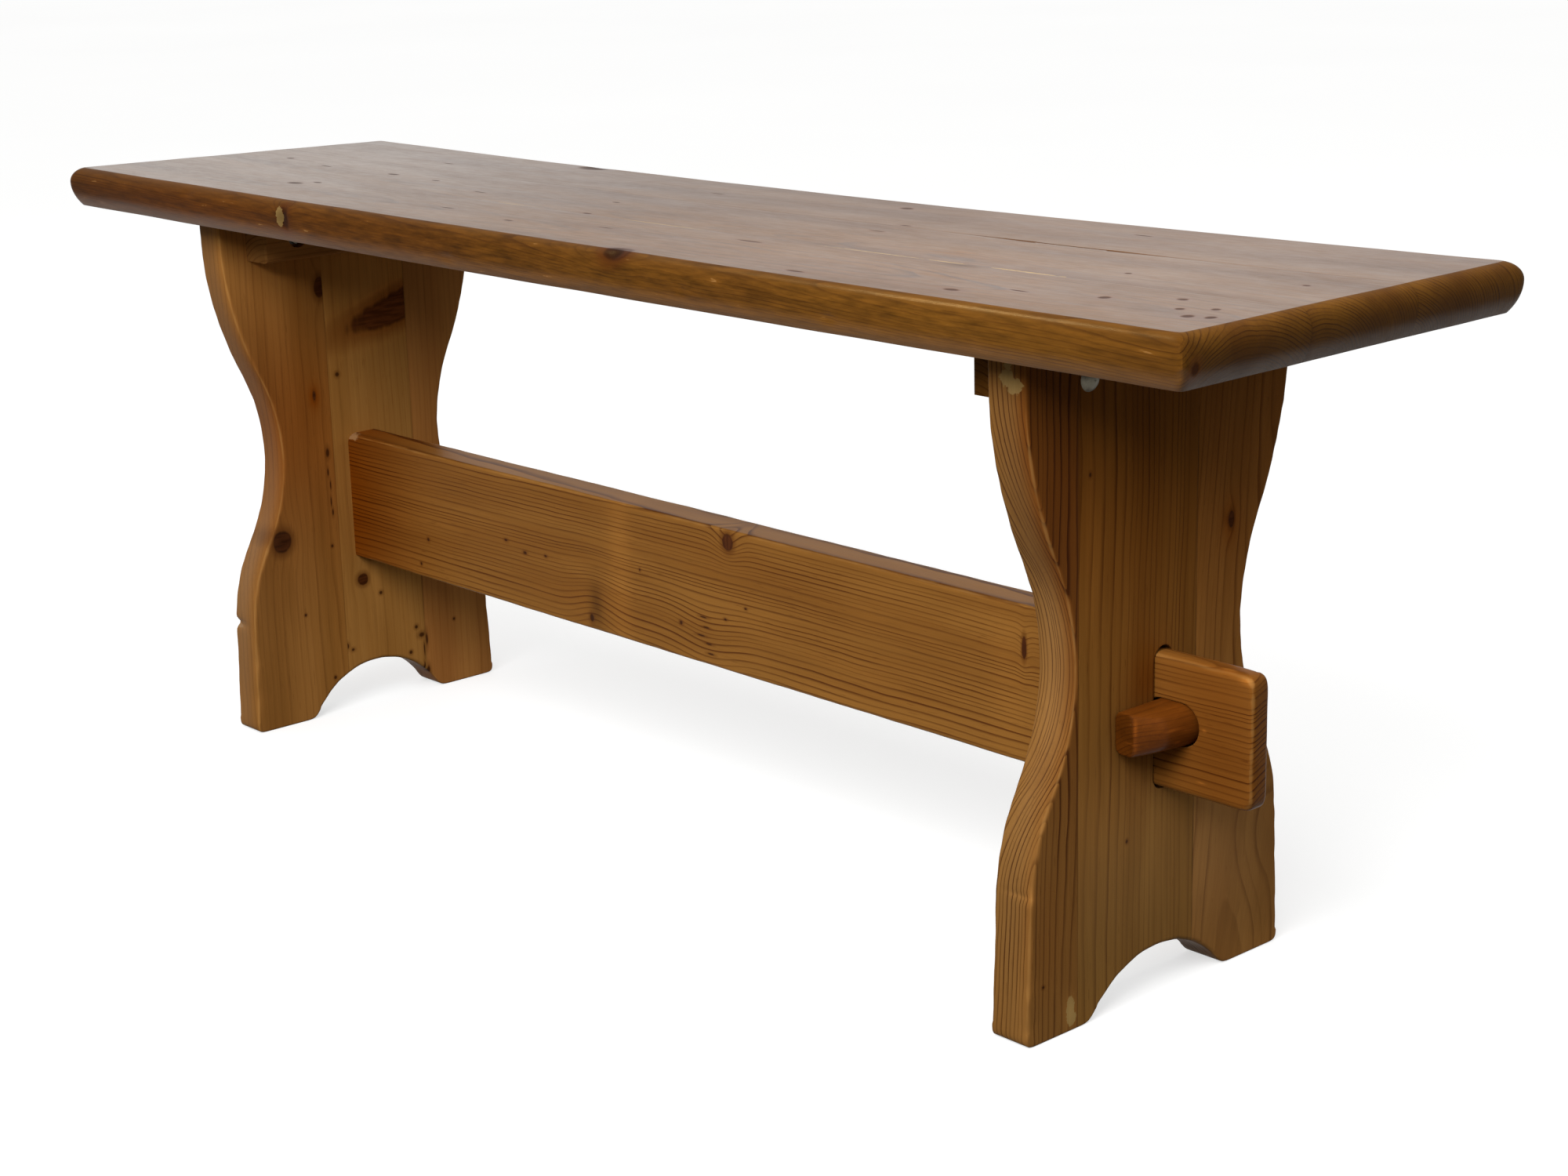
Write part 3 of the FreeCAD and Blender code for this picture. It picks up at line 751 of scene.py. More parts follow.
def make_pine_group():
    """Growth rings, fibres and marks of varnished pine, in millimetres along the grain and across it."""
    group = bpy.data.node_groups.new("pine", "ShaderNodeTree")
    for in_out, kind, names in PINE_SOCKETS:
        for name in names:
            group.interface.new_socket(name, in_out=in_out, socket_type=kind)
    s = Shader(group)
    given = s.add("NodeGroupInput").outputs
    place = given["Place"]
    medium = s.streaks(place, 130, 40, (31, 7, 3))
    small = s.streaks(place, 30, 8, (11, 5, 17))
    fibre = s.streaks(place, 60, 1.2, detail=3.0, roughness=0.6)
    rub = s.streaks(place, 24, 3.5, (4, 9, 21), 3.0, 0.6)
    crumb = s.streaks(place, 5, 4, (6, 2, 8), 3.0, 0.6)
    late = late_wood(s, given, medium, small)
    colour = ground_colour(s, given, late, medium, fibre, rub)

    # Worn edges, knots, pitch specks, filler, bare wood, a grey painted sheen, and lighter or darker tone
    # that is partly painted light and shade
    worn = s.sway(small, 1.6, given["Wear"])
    colour = s.mix(s.remap(worn, 0.45, 1.25, 0.0, 0.4), colour, WORN_RIM)
    knot = s.sway(small, 0.5, given["Knot"])
    colour = s.mix(s.remap(knot, 0.95, 2.0, 0.6, 0.0), colour, KNOT_HALO)
    branch = s.streaks(place, 3, 26, (9, 3, 5), 3.0, 0.6)
    heart = s.mix(s.remap(branch, 0.35, 0.65), *KNOT_HEART)
    heart = s.mix(s.remap(knot, 0.72, 1.0, 0.0, 0.7), heart, KNOT_RING)
    colour = s.mix(s.remap(knot, 0.82, 1.12, 1.0, 0.0), colour, heart)
    speck = s.sway(small, 0.9, given["Speck"])
    colour = s.mix(s.remap(speck, 0.9, 2.4, 0.4, 0.0), colour, PITCH_HALO)
    colour = s.mix(s.remap(speck, 0.5, 1.1, 0.9, 0.0), colour, PITCH)
    filler = s.remap(s.sway(crumb, 1.6, given["Putty"]), 0.92, 1.05, 1.0, 0.0)
    colour = s.mix(filler, colour, s.mix(fibre, *FILLER))
    fleck = s.times(s.remap(rub, 0.69, 0.76), given["Scuff"], clamp=True)
    colour = s.mix(s.times(fleck, 0.45), colour, FLECK)
    bare = s.sway(crumb, 1.6, given["Bare"])
    colour = s.mix(s.remap(bare, 0.8, 1.1, 0.9, 0.0), colour, BARE_WOOD)
    # A grey veil that is a painted sheen
    colour = s.mix(given["Dust"], colour, DUST)
    # Lighter or darker tone, partly real and partly painted light and shade
    colour = s.mix(1.0, colour, s.grey(given["Gleam"]), "MULTIPLY")

    # Roughness, gloss of the varnish and height of the grain
    rough = s.plus(filler, 0.25, s.plus(fibre, 0.14, 0.27))
    pit = s.remap(speck, 0.6, 1.2, 1.0, 0.0)
    streak = s.streaks(place, 210, 3, (2, 60, 31), 3.0, 0.6)
    sweep = s.streaks(place, 130, 45, (12, 6, 3), 3.0, 0.6)
    haze = s.streaks(place, 16, 5, (22, 16, 3), 4.0, 0.65)
    gloss = s.plus(streak, 0.3, s.plus(sweep, 0.75, 0.13))
    gloss = s.plus(haze, 0.7, gloss)
    gloss = s.times(gloss, s.plus(pit, -0.85, 1.0))
    gloss = s.times(gloss, s.remap(knot, 0.8, 1.15, 0.4, 1.0))
    height = s.plus(late, 0.3, s.times(fibre, 0.45))
    height = s.plus(medium, 1.5, height)
    height = s.plus(pit, -0.9, height)
    s.add("NodeGroupOutput", colour, rough, height, gloss)
    return group


AXES = {"x": (0, 1, 2), "y": (1, 2, 0), "z": (2, 0, 1)}
FAR_OFF = 9.0
ADDED_KINDS = ("gleam", "swell", "ruddy", "scuff", "dust", "contrast", "sheen")
BUMP_STRENGTH = 0.22
BUMP_DISTANCE = 0.0006
VARNISH_IOR = 1.45
NOSE_SHINE = 0.02
UNDER_SHINE = 0.13
# Ranges of the normal's upward part: from the nosing to the flat top, and under the nosing
TOP_LEVELS = (0.985, 1.0)
UNDER_LEVELS = (-0.2, -0.45)
COAT_ROUGHNESS = (0.9, 1.0, 0.17, 0.32)
# Stretches along the seat in which the polish falls and rises, with its strength at their ends
LEFT_POLISH = (-560, 80, 1.8, 1.0)
RIGHT_POLISH = (0, 450, 1.0, 1.34)

# How one board was sawn: its grain, the place of its pith, its colours and its marks
Board = namedtuple(
    "Board",
    "grain heart spacing colours lean wander contrast rim face marks seams gloss shine",
    defaults=((0.0, 0.0), 12.0, 0.8, None, None, {}, (), 0.008, 0.0),
)
Mark = namedtuple("Mark", "centre radii strength shear", defaults=(0.0, 0.0))
# A board's main face: the axis across it, its level, and the depth and share of size of its pitch specks
Face = namedtuple("Face", "axis level depth share")


def on_face(face, pair, value):
    """Two numbers along a face and one across it, in the order x, y, z."""
    return (*pair[:face.axis], value, *pair[face.axis:])


def spread_marks(board):
    """The kind and the mark of each of a board's marks, with those on its main face put in place."""
    for kind, spots in board.marks.items():
        for spot in spots:
            if kind == "pitch":
                first, second, long, wide = spot
                share = board.face.share
                spot = ((first, second), on_face(board.face, (long * share, wide * share), board.face.depth))
            mark = Mark(*spot)
            if len(mark.centre) == 2:
                mark = mark._replace(centre=on_face(board.face, mark.centre, board.face.level))
            yield "speck" if kind == "pitch" else kind, mark


def mark_reach(s, place, mark):
    """How far a point is from a mark's centre, where 1 is the mark's edge."""
    off = s.vector("SUBTRACT", place, mark.centre)
    if mark.shear:
        x, y, z = s.parts(off)
        off = s.joined(x, y, s.plus(y, -mark.shear, z))
    return s.vector("LENGTH", s.vector("DIVIDE", off, mark.radii))


def bell(s, reach, sharpness):
    """A smooth bump that is 1 at a mark's centre."""
    return s.math("EXPONENT", s.times(s.times(reach, reach), -sharpness))


def mark_values(s, place, board):
    """What a board's marks come to at each point, by the names of the pine's sockets and Sheen."""
    values = dict.fromkeys(("Knot", "Speck", "Putty", "Bare"), FAR_OFF)
    values.update(dict.fromkeys(("Swell", "Ruddy", "Scuff", "Dust", "Wear"), 0.0))
    values.update(Gleam=1.0, Sheen=1.0, Contrast=board.contrast)
    for kind, mark in spread_marks(board):
        key = kind.capitalize()
        reach = mark_reach(s, place, mark)
        if kind in ADDED_KINDS:
            values[key] = s.plus(bell(s, reach, 1.0), mark.strength, values[key])
        else:
            values[key] = s.math("MINIMUM", reach, values[key])
        if kind == "knot" and mark.strength:
            values["Swell"] = s.plus(bell(s, reach, 0.16), mark.strength, values["Swell"])
    return values


def seam_light(s, place, aligned, seam, width, strength):
    """How much light patchy dirt along a seam leaves."""
    gap = s.math("ABSOLUTE", s.math("SUBTRACT", s.parts(place)[1], seam))
    dirt = s.remap(gap, width * 0.4, width, strength, 0.0)
    patchy = s.noise(s.scaled(aligned, (1 / 60, 0, 0), (8, 0, 0)))
    return s.math("SUBTRACT", 1.0, s.times(dirt, s.remap(patchy, 0.35, 0.65, 0.25, 1.0)))


def new_material(name):
    """An empty material and its shader."""
    material = bpy.data.materials.new(name)
    material.use_nodes = True
    material.node_tree.nodes.clear()
    return material, Shader(material.node_tree)


def pine(name, group, board):
    """The varnished pine of one board."""
    material, s = new_material(name)
    coords = s.add("ShaderNodeTexCoord").outputs
    place = s.vector("SCALE", coords["Object"])
    place.node.inputs["Scale"].default_value = 1 / MM
    axes = AXES[board.grain]
    offset = s.parts(s.vector("SUBTRACT", place, board.heart))
    parts = [offset[axis] for axis in axes]
    for number, lean in enumerate(board.lean, 1):
        if lean:
            parts[number] = s.plus(parts[0], -lean, parts[number])
    aligned = s.joined(*parts)
    facing = s.parts(s.vector("ABSOLUTE", coords["Normal"]))
    values = mark_values(s, place, board)
    for seam in board.seams:
        values["Gleam"] = s.times(values["Gleam"], seam_light(s, place, aligned, *seam))
    if board.rim is not None:
        square = s.times(facing[board.rim], facing[board.rim])
        values["Wear"] = s.times(s.times(square, s.math("SUBTRACT", 1.0, square)), 4.0)
    sheen = values.pop("Sheen")
    values.update(zip(PINE_COLOURS, (linear(*colour) for colour in board.colours)))
    values.update(Place=aligned, Spacing=board.spacing, Wander=board.wander, End=facing[axes[0]])
    wood = s.wire(s.add("ShaderNodeGroup", node_tree=group), values).outputs
    relief = {"Strength": BUMP_STRENGTH, "Distance": BUMP_DISTANCE, "Height": wood["Height"]}
    bump = s.wire(s.add("ShaderNodeBump"), relief).outputs[0]
    looks = {
        "Base Color": wood["Color"],
        "Roughness": wood["Roughness"],
        "Normal": bump,
        "IOR": VARNISH_IOR,
        "Specular IOR Level": board.gloss,
    }
    if board.shine:
        level = s.parts(coords["Normal"])[2]
        along = s.parts(place)[0]
        polish = s.times(wood["Gloss"], s.remap(along, *LEFT_POLISH))
        polish = s.times(s.times(polish, s.remap(along, *RIGHT_POLISH)), sheen)
        coat = s.remap(level, *TOP_LEVELS, NOSE_SHINE, board.shine)
        coat = s.math("ADD", coat, s.remap(level, *UNDER_LEVELS, 0.0, UNDER_SHINE))
        looks["Coat Weight"] = s.times(coat, polish)
        looks["Coat Roughness"] = s.remap(level, *COAT_ROUGHNESS)
        looks["Coat Normal"] = bump
    s.surface(looks)
    return material


def zinc():
    """Dull zinc plating with a faint mottle."""
    material, s = new_material("zinc_plating")
    place = s.add("ShaderNodeTexCoord").outputs["Object"]
    mottle = s.noise(s.scaled(place, (400, 400, 400)), 4.0, 0.6)
    scratch = s.noise(s.scaled(place, (300, 2500, 2500)))
    looks = {"Base Color": s.mix(mottle, *ZINC), "Roughness": s.plus(scratch, 0.25, 0.38), "Metallic": 1.0}
    s.surface(looks)
    return material


def paint(piece, material):
    """Gives a piece one material."""
    piece.data.materials.clear()
    piece.data.materials.append(material)


# Colours of the boards on the screen: early wood, late wood and the deeper tone between
OAKY = ((99, 63, 18), (60, 33, 8), (83, 50, 14))
GOLD = ((152, 103, 49), (104, 63, 23), (136, 89, 38))
OLIVE = ((144, 103, 49), (92, 56, 20), (126, 86, 37))
FAWN = ((160, 111, 54), (116, 73, 28), (146, 98, 44))
ROSY = ((158, 111, 56), (112, 70, 28), (142, 96, 45))
BLUSH = ((168, 113, 57), (122, 74, 31), (154, 99, 48))
# BLUSH is lighter in part as painted light, making up for the shade the seat and rail cast on the left back
# stave
HAY = ((136, 95, 47), (76, 42, 14), (120, 79, 34))
AMBER = ((142, 96, 42), (84, 45, 14), (126, 81, 32))
RUSSET = ((109, 57, 13), (76, 36, 8), (93, 47, 11))
DUSKY = ((120, 76, 28), (82, 46, 14), (104, 64, 22))
# STRAW is lightened partly as painted light, against the shade under the seat on the left cleat
STRAW = ((168, 116, 60), (126, 80, 36), (152, 101, 50))

SEAT_FACE = Face(2, SEAT_TOP - 1.0, 6, 1.0)
NEAR_FACE = Face(0, PANEL_OUTER, 8, 0.85)
FAR_FACE = Face(0, -PANEL_INNER, 8, 0.85)
RAIL_FACE = Face(1, -RAIL_HALF_THICKNESS, 6, 0.8)
SEAM_FILLER = [
    ((x, SEAT_SEAMS[0]), (long, wide, 6))
    for x, long, wide in ((-123, 16, 0.9), (45, 46, 0.9), (250, 42, 0.9), (312, 17, 1.0), (378, 28, 1.2))
]

# Several kinds of mark lighten, darken, redden or grey the colour; many of those marks are painted light,
# shade and sheen.
# Marks by kind: centre, radii, strength and shear. A centre of two numbers lies on the board's main face.
# Pitch specks: their place on that face and two radii.
SEAT_FRONT_MARKS = {
    "knot": [((120, -146, 450), (12, 9, 8), 5.0), ((-263, -153, 439), (5, 6, 8), 4.0)],
    "speck": [
        ((117, -147, 449), (10, 7, 7)), ((-258.5, -154, 438), (5, 6, 11)), ((583, -142, 431), (4, 3.4, 5)),
    ],
    "putty": [((-265.5, -154, 439), (5, 7, 7.5)), *SEAM_FILLER],
    "gleam": [
        ((-263, -154, 439), (10, 9, 11), -0.52), ((120, -147, 450), (14, 10, 9), -0.5),
        ((340, -90), (330, 160, 12), 0.42), ((300, -149, 446), (380, 14, 6), -0.32),
        # Painted reflection: the mark at (0, -150, 424) lightens the downward-facing lower nosing as if it
        # mirrored the floor
        ((0, -150, 424), (900, 18, 8), 0.7), ((583, -153, 432), (1.6, 1.6, 14), 0.5),
        ((329, -51), (13, 7, 8), -0.4),
    ],
    "ruddy": [((-400, -153, 436), (330, 16, 16), 0.65)],
    "contrast": [((0, -153, 436), (900, 12, 16), -0.15)],
    "scuff": [((0, -153, 436), (900, 14, 16), 1.5), ((150, -100), (520, 60, 9), 0.7)],
    "sheen": [
        ((130, SEAT_SEAMS[0]), (330, 3, 8), 0.2), ((329, -51), (16, 5, 8), -0.4),
        ((390, -130), (150, 18, 8), -0.2),
    ],
    "pitch": [
        (-353, -83, 8, 5), (-343, -69, 5, 2.4), (-50, -105, 6, 2), (151, -64, 14, 1.6), (268, -131, 9, 2),
        (388, -121, 6, 3.4), (473, -88, 4, 4), (511, -67, 4, 3), (529, -91, 3, 3), (545, -81, 3, 3),
        (546, -105, 4, 4), (558, -101, 3, 4), (-140, -92, 10, 1.4), (30, -84, 9, 1.2), (420, -100, 7, 1.2),
    ],
}
SEAT_MIDDLE_MARKS = {
    "gleam": [
        ((340, 0), (330, 160, 12), 0.42), ((328, SEAT_SEAMS[1]), (60, 1.6, 6), -0.6),
        ((300, -20), (60, 12, 8), 0.25), ((357, -44), (55, 6, 8), 0.2),
    ],
    "speck": [((328, SEAT_SEAMS[1]), (44, 0.8, 6))],
    "scuff": [((200, 0), (500, 70, 9), 0.5)],
    "sheen": [
        ((130, SEAT_SEAMS[0]), (330, 3, 8), 0.2), ((322, -40), (60, 6, 8), 0.16),
        ((288, -14), (14, 18, 8), -0.18),
    ],
    "putty": [*SEAM_FILLER],
    "pitch": [
        (-510, 12, 4, 2.4), (-438, 0, 8, 1.6), (-347, 3, 7, 3), (-288, 2, 5, 2), (-75, 9, 4, 1.6),
        (-40, -45, 5, 1.8), (427, -15, 2.4, 2), (535, 10, 3, 2), (-200, -20, 9, 1.2), (180, 22, 8, 1.2),
    ],
}
SEAT_BACK_MARKS = {
    "gleam": [((340, 90), (330, 160, 12), 0.42), ((328, SEAT_SEAMS[1]), (60, 1.6, 6), -0.6)],
    "speck": [((-264, 138, 446), (17, 10, 10)), ((328, SEAT_SEAMS[1]), (44, 0.8, 6))],
    "pitch": [
        (110, 118, 6, 4), (175, 53, 6, 1.6), (-380, 80, 8, 1.4), (-60, 92, 9, 1.2), (330, 110, 8, 1.4),
    ],
}
LEFT_FRONT_MARKS = {
    "knot": [
        ((-31, 357), (30, 5, 8), 2.5), ((-43, 270), (30, 1.3, 3.6), 1.5), ((-83, 155), (40, 8.5, 9), 4.0),
    ],
    "ruddy": [((-43, 269), (20, 5, 10), 0.5), ((-70, 250), (60, 75, 95), 0.68)],
    "gleam": [
        # Painted light: the mark at (-60, 385) lightens the top of the face against the shade under the seat
        ((-60, 385), (10, 70, 50), 0.45), ((-60, 70), (10, 80, 60), 0.1), ((-83, 155), (40, 9, 9), -0.35),
        ((-31, 110), (20, 9, 120), 0.16),
    ],
    # Painted sheen: a grey veil on the front edge, standing in for its reflection of pale surroundings
    "dust": [((-431, -105, 200), (13, 45, 240), 0.3)],
    "bare": [((-437, -113, 87), (7, 4, 1.6))],
    "pitch": [
        (-34, 221, 2.2, 5), (-35, 205, 0.9, 4), (-33.5, 194, 0.8, 5), (-34, 180, 0.8, 6), (-33, 171, 1.2, 4),
        (-36, 143, 1.6, 1.8), (-66, 90, 1.4, 1.4), (-42, 31, 1.6, 1.8),
    ],
}
LEFT_MIDDLE_MARKS = {
    "ruddy": [((50, 334), (40, 58, 17), 1.0, 0.24)],
    "gleam": [
        # Painted light: the mark at (14, 388) lightens the top of the face against the shade under the seat
        ((56, 335), (40, 62, 16), 1.0, 0.24), ((14, 388), (10, 60, 62), 0.6),
        ((22, 346), (40, 30, 2.6), 0.3, 0.34),
    ],
    "knot": [((56, 335), (40, 62, 13.5), 0.0, 0.24), ((-9, 109), (30, 5, 5), 2.5)],
    "pitch": [
        (-20, 284, 2.6, 2.6), (-28, 55, 2, 3.4), (-23, 51, 2.2, 2), (8, 94, 2, 2), (34, 36, 2, 2),
        (41, 57, 2.4, 2.4), (46, 49, 4, 3), (48, 36, 1, 9), (47.5, 20, 1, 7),
    ],
}
LEFT_BACK_MARKS = {
    "pitch": [(80, 56, 1.6, 1.6), (51, 44, 1.6, 8), (51, 16, 2, 6)],
}
RIGHT_FRONT_MARKS = {
    "gleam": [
        ((433, -115, 94), (11, 4, 1.6), 0.3), ((441, -115, 96), (2.5, 4, 4), 0.45),
        ((427, -80, 225), (14, 16, 70), 0.25), ((427, -117, 60), (14, 12, 80), -0.12),
        ((-80, 12), (6, 7, 12), 0.4),
    ],
    # Painted shade: the wide mark at (-90, 340) darkens and reddens the face under the seat
    "ruddy": [((-90, 340), (8, 200, 170), 0.75), ((-100, 60), (8, 24, 60), 0.3)],
    "contrast": [((-95, 50), (8, 40, 90), -0.7)],
    "dust": [((427, -95, 260), (13, 60, 190), 0.09)],
    "putty": [
        ((-80, 14), (6, 3.6, 7.5)), ((-79, 8), (6, 4, 4.5)), ((434, -119, 400), (5.5, 8, 5)),
        ((428, -119, 404), (5.5, 8, 5)), ((429, -119, 416), (4.2, 8, 9)),
    ],
    "pitch": [(-104, 36, 1.4, 1.4)],
}
RIGHT_MIDDLE_MARKS = {
    # Painted shade: the wide mark at (-20, 340) darkens and reddens the face under the seat, and the one at
    # (-14, 205) darkens beside the slot above the wedge
    "ruddy": [((-20, 340), (8, 200, 170), 0.68), ((-14, 205), (8, 16, 26), 0.4)],
    "gleam": [
        # Painted light: the mark at (-42, 125) lightens the face below the wedge against the wedge's shadow
        ((-62, 330), (20, 7, 200), 0.16), ((-42, 125), (8, 55, 38), 0.3), ((-30, 36), (8, 100, 28), -0.12),
    ],
    "contrast": [((-20, 70), (8, 90, 80), -0.4)],
    "dust": [((-20, 85), (8, 110, 70), 0.08)],
    "pitch": [(-64, 341, 1.6, 2.2), (-30, 108, 1.4, 1.8)],
}
RIGHT_BACK_MARKS = {
    # Painted shade: the wide mark at (80, 340) darkens and reddens the face under the seat
    "ruddy": [((80, 340), (8, 200, 170), 0.5), ((63, 289), (20, 8, 15), 0.4)],
    "knot": [((64, 291), (30, 2.6, 5), 5.0)],
    "dust": [((50, 85), (8, 80, 70), 0.12)],
    "gleam": [((72, 88), (8, 60, 30), 0.2), ((90, 24), (8, 60, 24), -0.12)],
    "swell": [((96, 92), (30, 32, 62), 15.0)],
    "contrast": [((84, 70), (8, 60, 80), -0.35)],
}
STRETCHER_MARKS = {
    "bare": [((-408, 2 - RAIL_HALF_THICKNESS, 232), (11, 7, 2.6))],
    "ruddy": [
        # Painted shade: the mark at (-415, 0, 180) darkens and reddens the rail's left end beside the far
        # panel
        ((-415, 0, 180), (95, 60, 130), 1.0), ((490, 0, 180), (60, 60, 130), 0.62),
        ((-490, 0, 180), (60, 60, 130), 0.62),
    ],
    "gleam": [
        ((-390, 180), (60, 20, 70), -0.12), ((511, -5, 218), (5, 3, 2.0), 0.7),
        ((495, -4, 221), (10, 3, 1.4), 0.5), ((480, -5.2, 181), (1.6, 2, 1.0), 0.6),
        ((478, -5.2, 148), (3, 2, 0.6), 0.5), ((485, 0, 160), (50, 40, 70), -0.2),
        ((-485, 0, 160), (50, 40, 70), -0.15), ((-90, 150), (8, 20, 18), -0.45),
        ((-60, 182), (13, 20, 90), 0.26), ((330, 180), (16, 20, 40), 0.12),
    ],
    "contrast": [((485, 0, 180), (50, 40, 100), -0.55)],
    "knot": [((62, 225), (5.5, 30, 6), 8.0), ((343, 206), (1.9, 20, 7.5), 3.0)],
    "swell": [((-92, 148), (26, 30, 32), -7.0), ((36, 150), (34, 30, 26), 6.0)],
    "pitch": [
        (-305, 163, 2.2, 2), (-317, 141, 2, 2), (-176, 175, 3, 1.6), (-150, 177, 2.4, 1.4),
        (-200, 181, 3, 1.6), (-37, 187, 1.6, 1.6), (57, 168, 2.4, 1.4), (79, 180, 2.2, 1.4),
        (8, 156, 2.4, 2), (33, 165, 6, 1), (36, 158, 5, 0.9), (30, 151, 6, 1), (38, 146, 5, 0.9),
        (40, 139, 5, 1), (-96, 139, 3, 4),
    ],
}
RIGHT_WEDGE_MARKS = {
    "gleam": [
        ((457.8, -41.6, 185.5), (1.2, 1.4, 6.5), 1.2), ((458, -41.6, 173), (1.2, 1.4, 5), 0.6),
        ((470, -22, 183), (3, 4, 1.0), 0.7), ((450, -43, 180.5), (10, 2.0, 14), -0.35),
        ((470, -17, 174), (2, 2.4, 1.0), 0.8), ((456, -42, 176), (5, 2, 0.6), 0.6),
    ],
    "scuff": [((464, -10, 182), (30, 40, 20), 0.7)],
}

# Dirt along the seams: place, width and strength
FRONT_SEAM = (SEAT_SEAMS[0], 1.2, 0.15)
LEFT_SEAMS = ((STAVE_SEAMS["left"][0], 0.9, 0.25), (STAVE_SEAMS["left"][1], 0.9, 0.3))
RIGHT_SEAM = (STAVE_SEAMS["right"][0], 0.8, 0.2)


def seat_board(heart, spacing, lean, contrast, **rest):
    """A board of the seat."""
    varnish = dict(gloss=0.01, shine=0.53)
    return Board("x", heart, spacing, OAKY, lean, 22.0, contrast, face=SEAT_FACE, **varnish, **rest)


def stave(face, heart, spacing, colours, lean, wander, contrast, marks, seams):
    """A stave of an end panel, worn around its faces."""
    return Board("z", heart, spacing, colours, lean, wander, contrast, face.axis, face, marks, seams)


BOARDS = {
    "seat_front_board": seat_board(
        (0, -106, 372), 2.0, (0.012, -0.02), 0.8, seams=[FRONT_SEAM], marks=SEAT_FRONT_MARKS
    ),
    "seat_middle_board": seat_board(
        (0, -32, 384), 2.0, (-0.014, 0.02), 0.7,
        seams=[FRONT_SEAM, (SEAT_SEAMS[1], 1.2, 0.2)], marks=SEAT_MIDDLE_MARKS,
    ),
    "seat_back_board": seat_board(
        (0, 16, 376), 1.9, (0.014, 0.016), 0.8, seams=[(SEAT_SEAMS[1], 1.2, 0.25)], marks=SEAT_BACK_MARKS
    ),
    "left_panel_front_stave": stave(
        FAR_FACE, (-346, -14, 0), 4.2, GOLD, (0.0, 0.008), 12.0, 0.5, LEFT_FRONT_MARKS, LEFT_SEAMS[:1]
    ),
    "left_panel_middle_stave": stave(
        FAR_FACE, (-334, -64, 0), 4.4, FAWN, (0.0, -0.006), 12.0, 0.4, LEFT_MIDDLE_MARKS, LEFT_SEAMS
    ),
    "left_panel_back_stave": stave(
        FAR_FACE, (-350, 150, 0), 4.2, BLUSH, (0.0, 0.01), 12.0, 0.4, LEFT_BACK_MARKS, LEFT_SEAMS[1:]
    ),
    "right_panel_front_stave": stave(
        NEAR_FACE, (345, -46, 0), 2.5, HAY, (0.0, 0.006), 8.0, 1.7, RIGHT_FRONT_MARKS, [RIGHT_SEAM]
    ),
    "right_panel_middle_stave": stave(
        NEAR_FACE, (362, -96, 0), 3.8, OLIVE, (0.004, 0.004), 10.0, 1.0, RIGHT_MIDDLE_MARKS,
        [RIGHT_SEAM, (STAVE_SEAMS["right"][1], 0.9, 0.4)],
    ),
    "right_panel_back_stave": stave(
        NEAR_FACE, (372, 72, 0), 4.4, ROSY, (0.05, 0.12), 12.0, 1.0, RIGHT_BACK_MARKS,
        [(STAVE_SEAMS["right"][1], 0.9, 0.5)],
    ),
    "stretcher": Board(
        "x", (0, 34, 82), 3.3, AMBER, (0.004, 0.008), 10.0, 1.35, rim=1, gloss=0.03, face=RAIL_FACE,
        marks=STRETCHER_MARKS,
    ),
    "left_wedge": Board("y", (-462, 0, 140), 2.6, RUSSET, wander=6.0, contrast=0.6, gloss=0.06),
    "right_wedge": Board(
        "y", (470, 0, 140), 2.6, RUSSET, wander=6.0, contrast=0.6, gloss=0.06, marks=RIGHT_WEDGE_MARKS
    ),
    "left_cleat": Board("y", (-380, 0, 350), 4.0, STRAW, wander=8.0, contrast=0.8),
    "right_cleat": Board("y", (380, 0, 350), 4.0, DUSKY, wander=8.0, contrast=0.8),
}


def dress(frame):
    """Makes the wooden pieces and gives every piece its material."""
    group = make_pine_group()
    pieces = make_seat()
    for side in ("left", "right"):
        pieces.update(make_panel(side))
        pieces[f"{side}_wedge"] = make_wedge(side)
        pieces[f"{side}_cleat"] = frame["nodes"][f"{side}_cleat"]
    pieces["stretcher"] = make_stretcher()
    for name, piece in pieces.items():
        paint(piece, pine(f"{name}_wood", group, BOARDS[name]))
    steel = zinc()
    for name in ("panel_bolts", "bolt_washers", "bolt_nuts", "cleat_screws"):
        paint(frame["nodes"][name], steel)


# Stage, with its lengths in metres


def background_seen(s):
    """1 for rays that show the background: from the camera, mirrored or through glass."""
    path = s.add("ShaderNodeLightPath").outputs
    mirrored = s.math("MAXIMUM", path["Is Glossy Ray"], path["Is Transmission Ray"])
    return s.math("MAXIMUM", path["Is Camera Ray"], mirrored)


FLOOR_SIZE = 24.0
FLOOR_GLOW = 0.6
# The floor's two tones as light meets it and as it is seen
FLOOR_LIT = (linear(80, 80, 79), linear(88, 88, 87))
FLOOR_SEEN = (linear(182, 182, 181), linear(188, 188, 187))
WHITE = (1.0, 1.0, 1.0, 1.0)
# The surround's brightness from the horizon to high overhead
SURROUND = (0.0, 0.8, 0.16, 0.92)


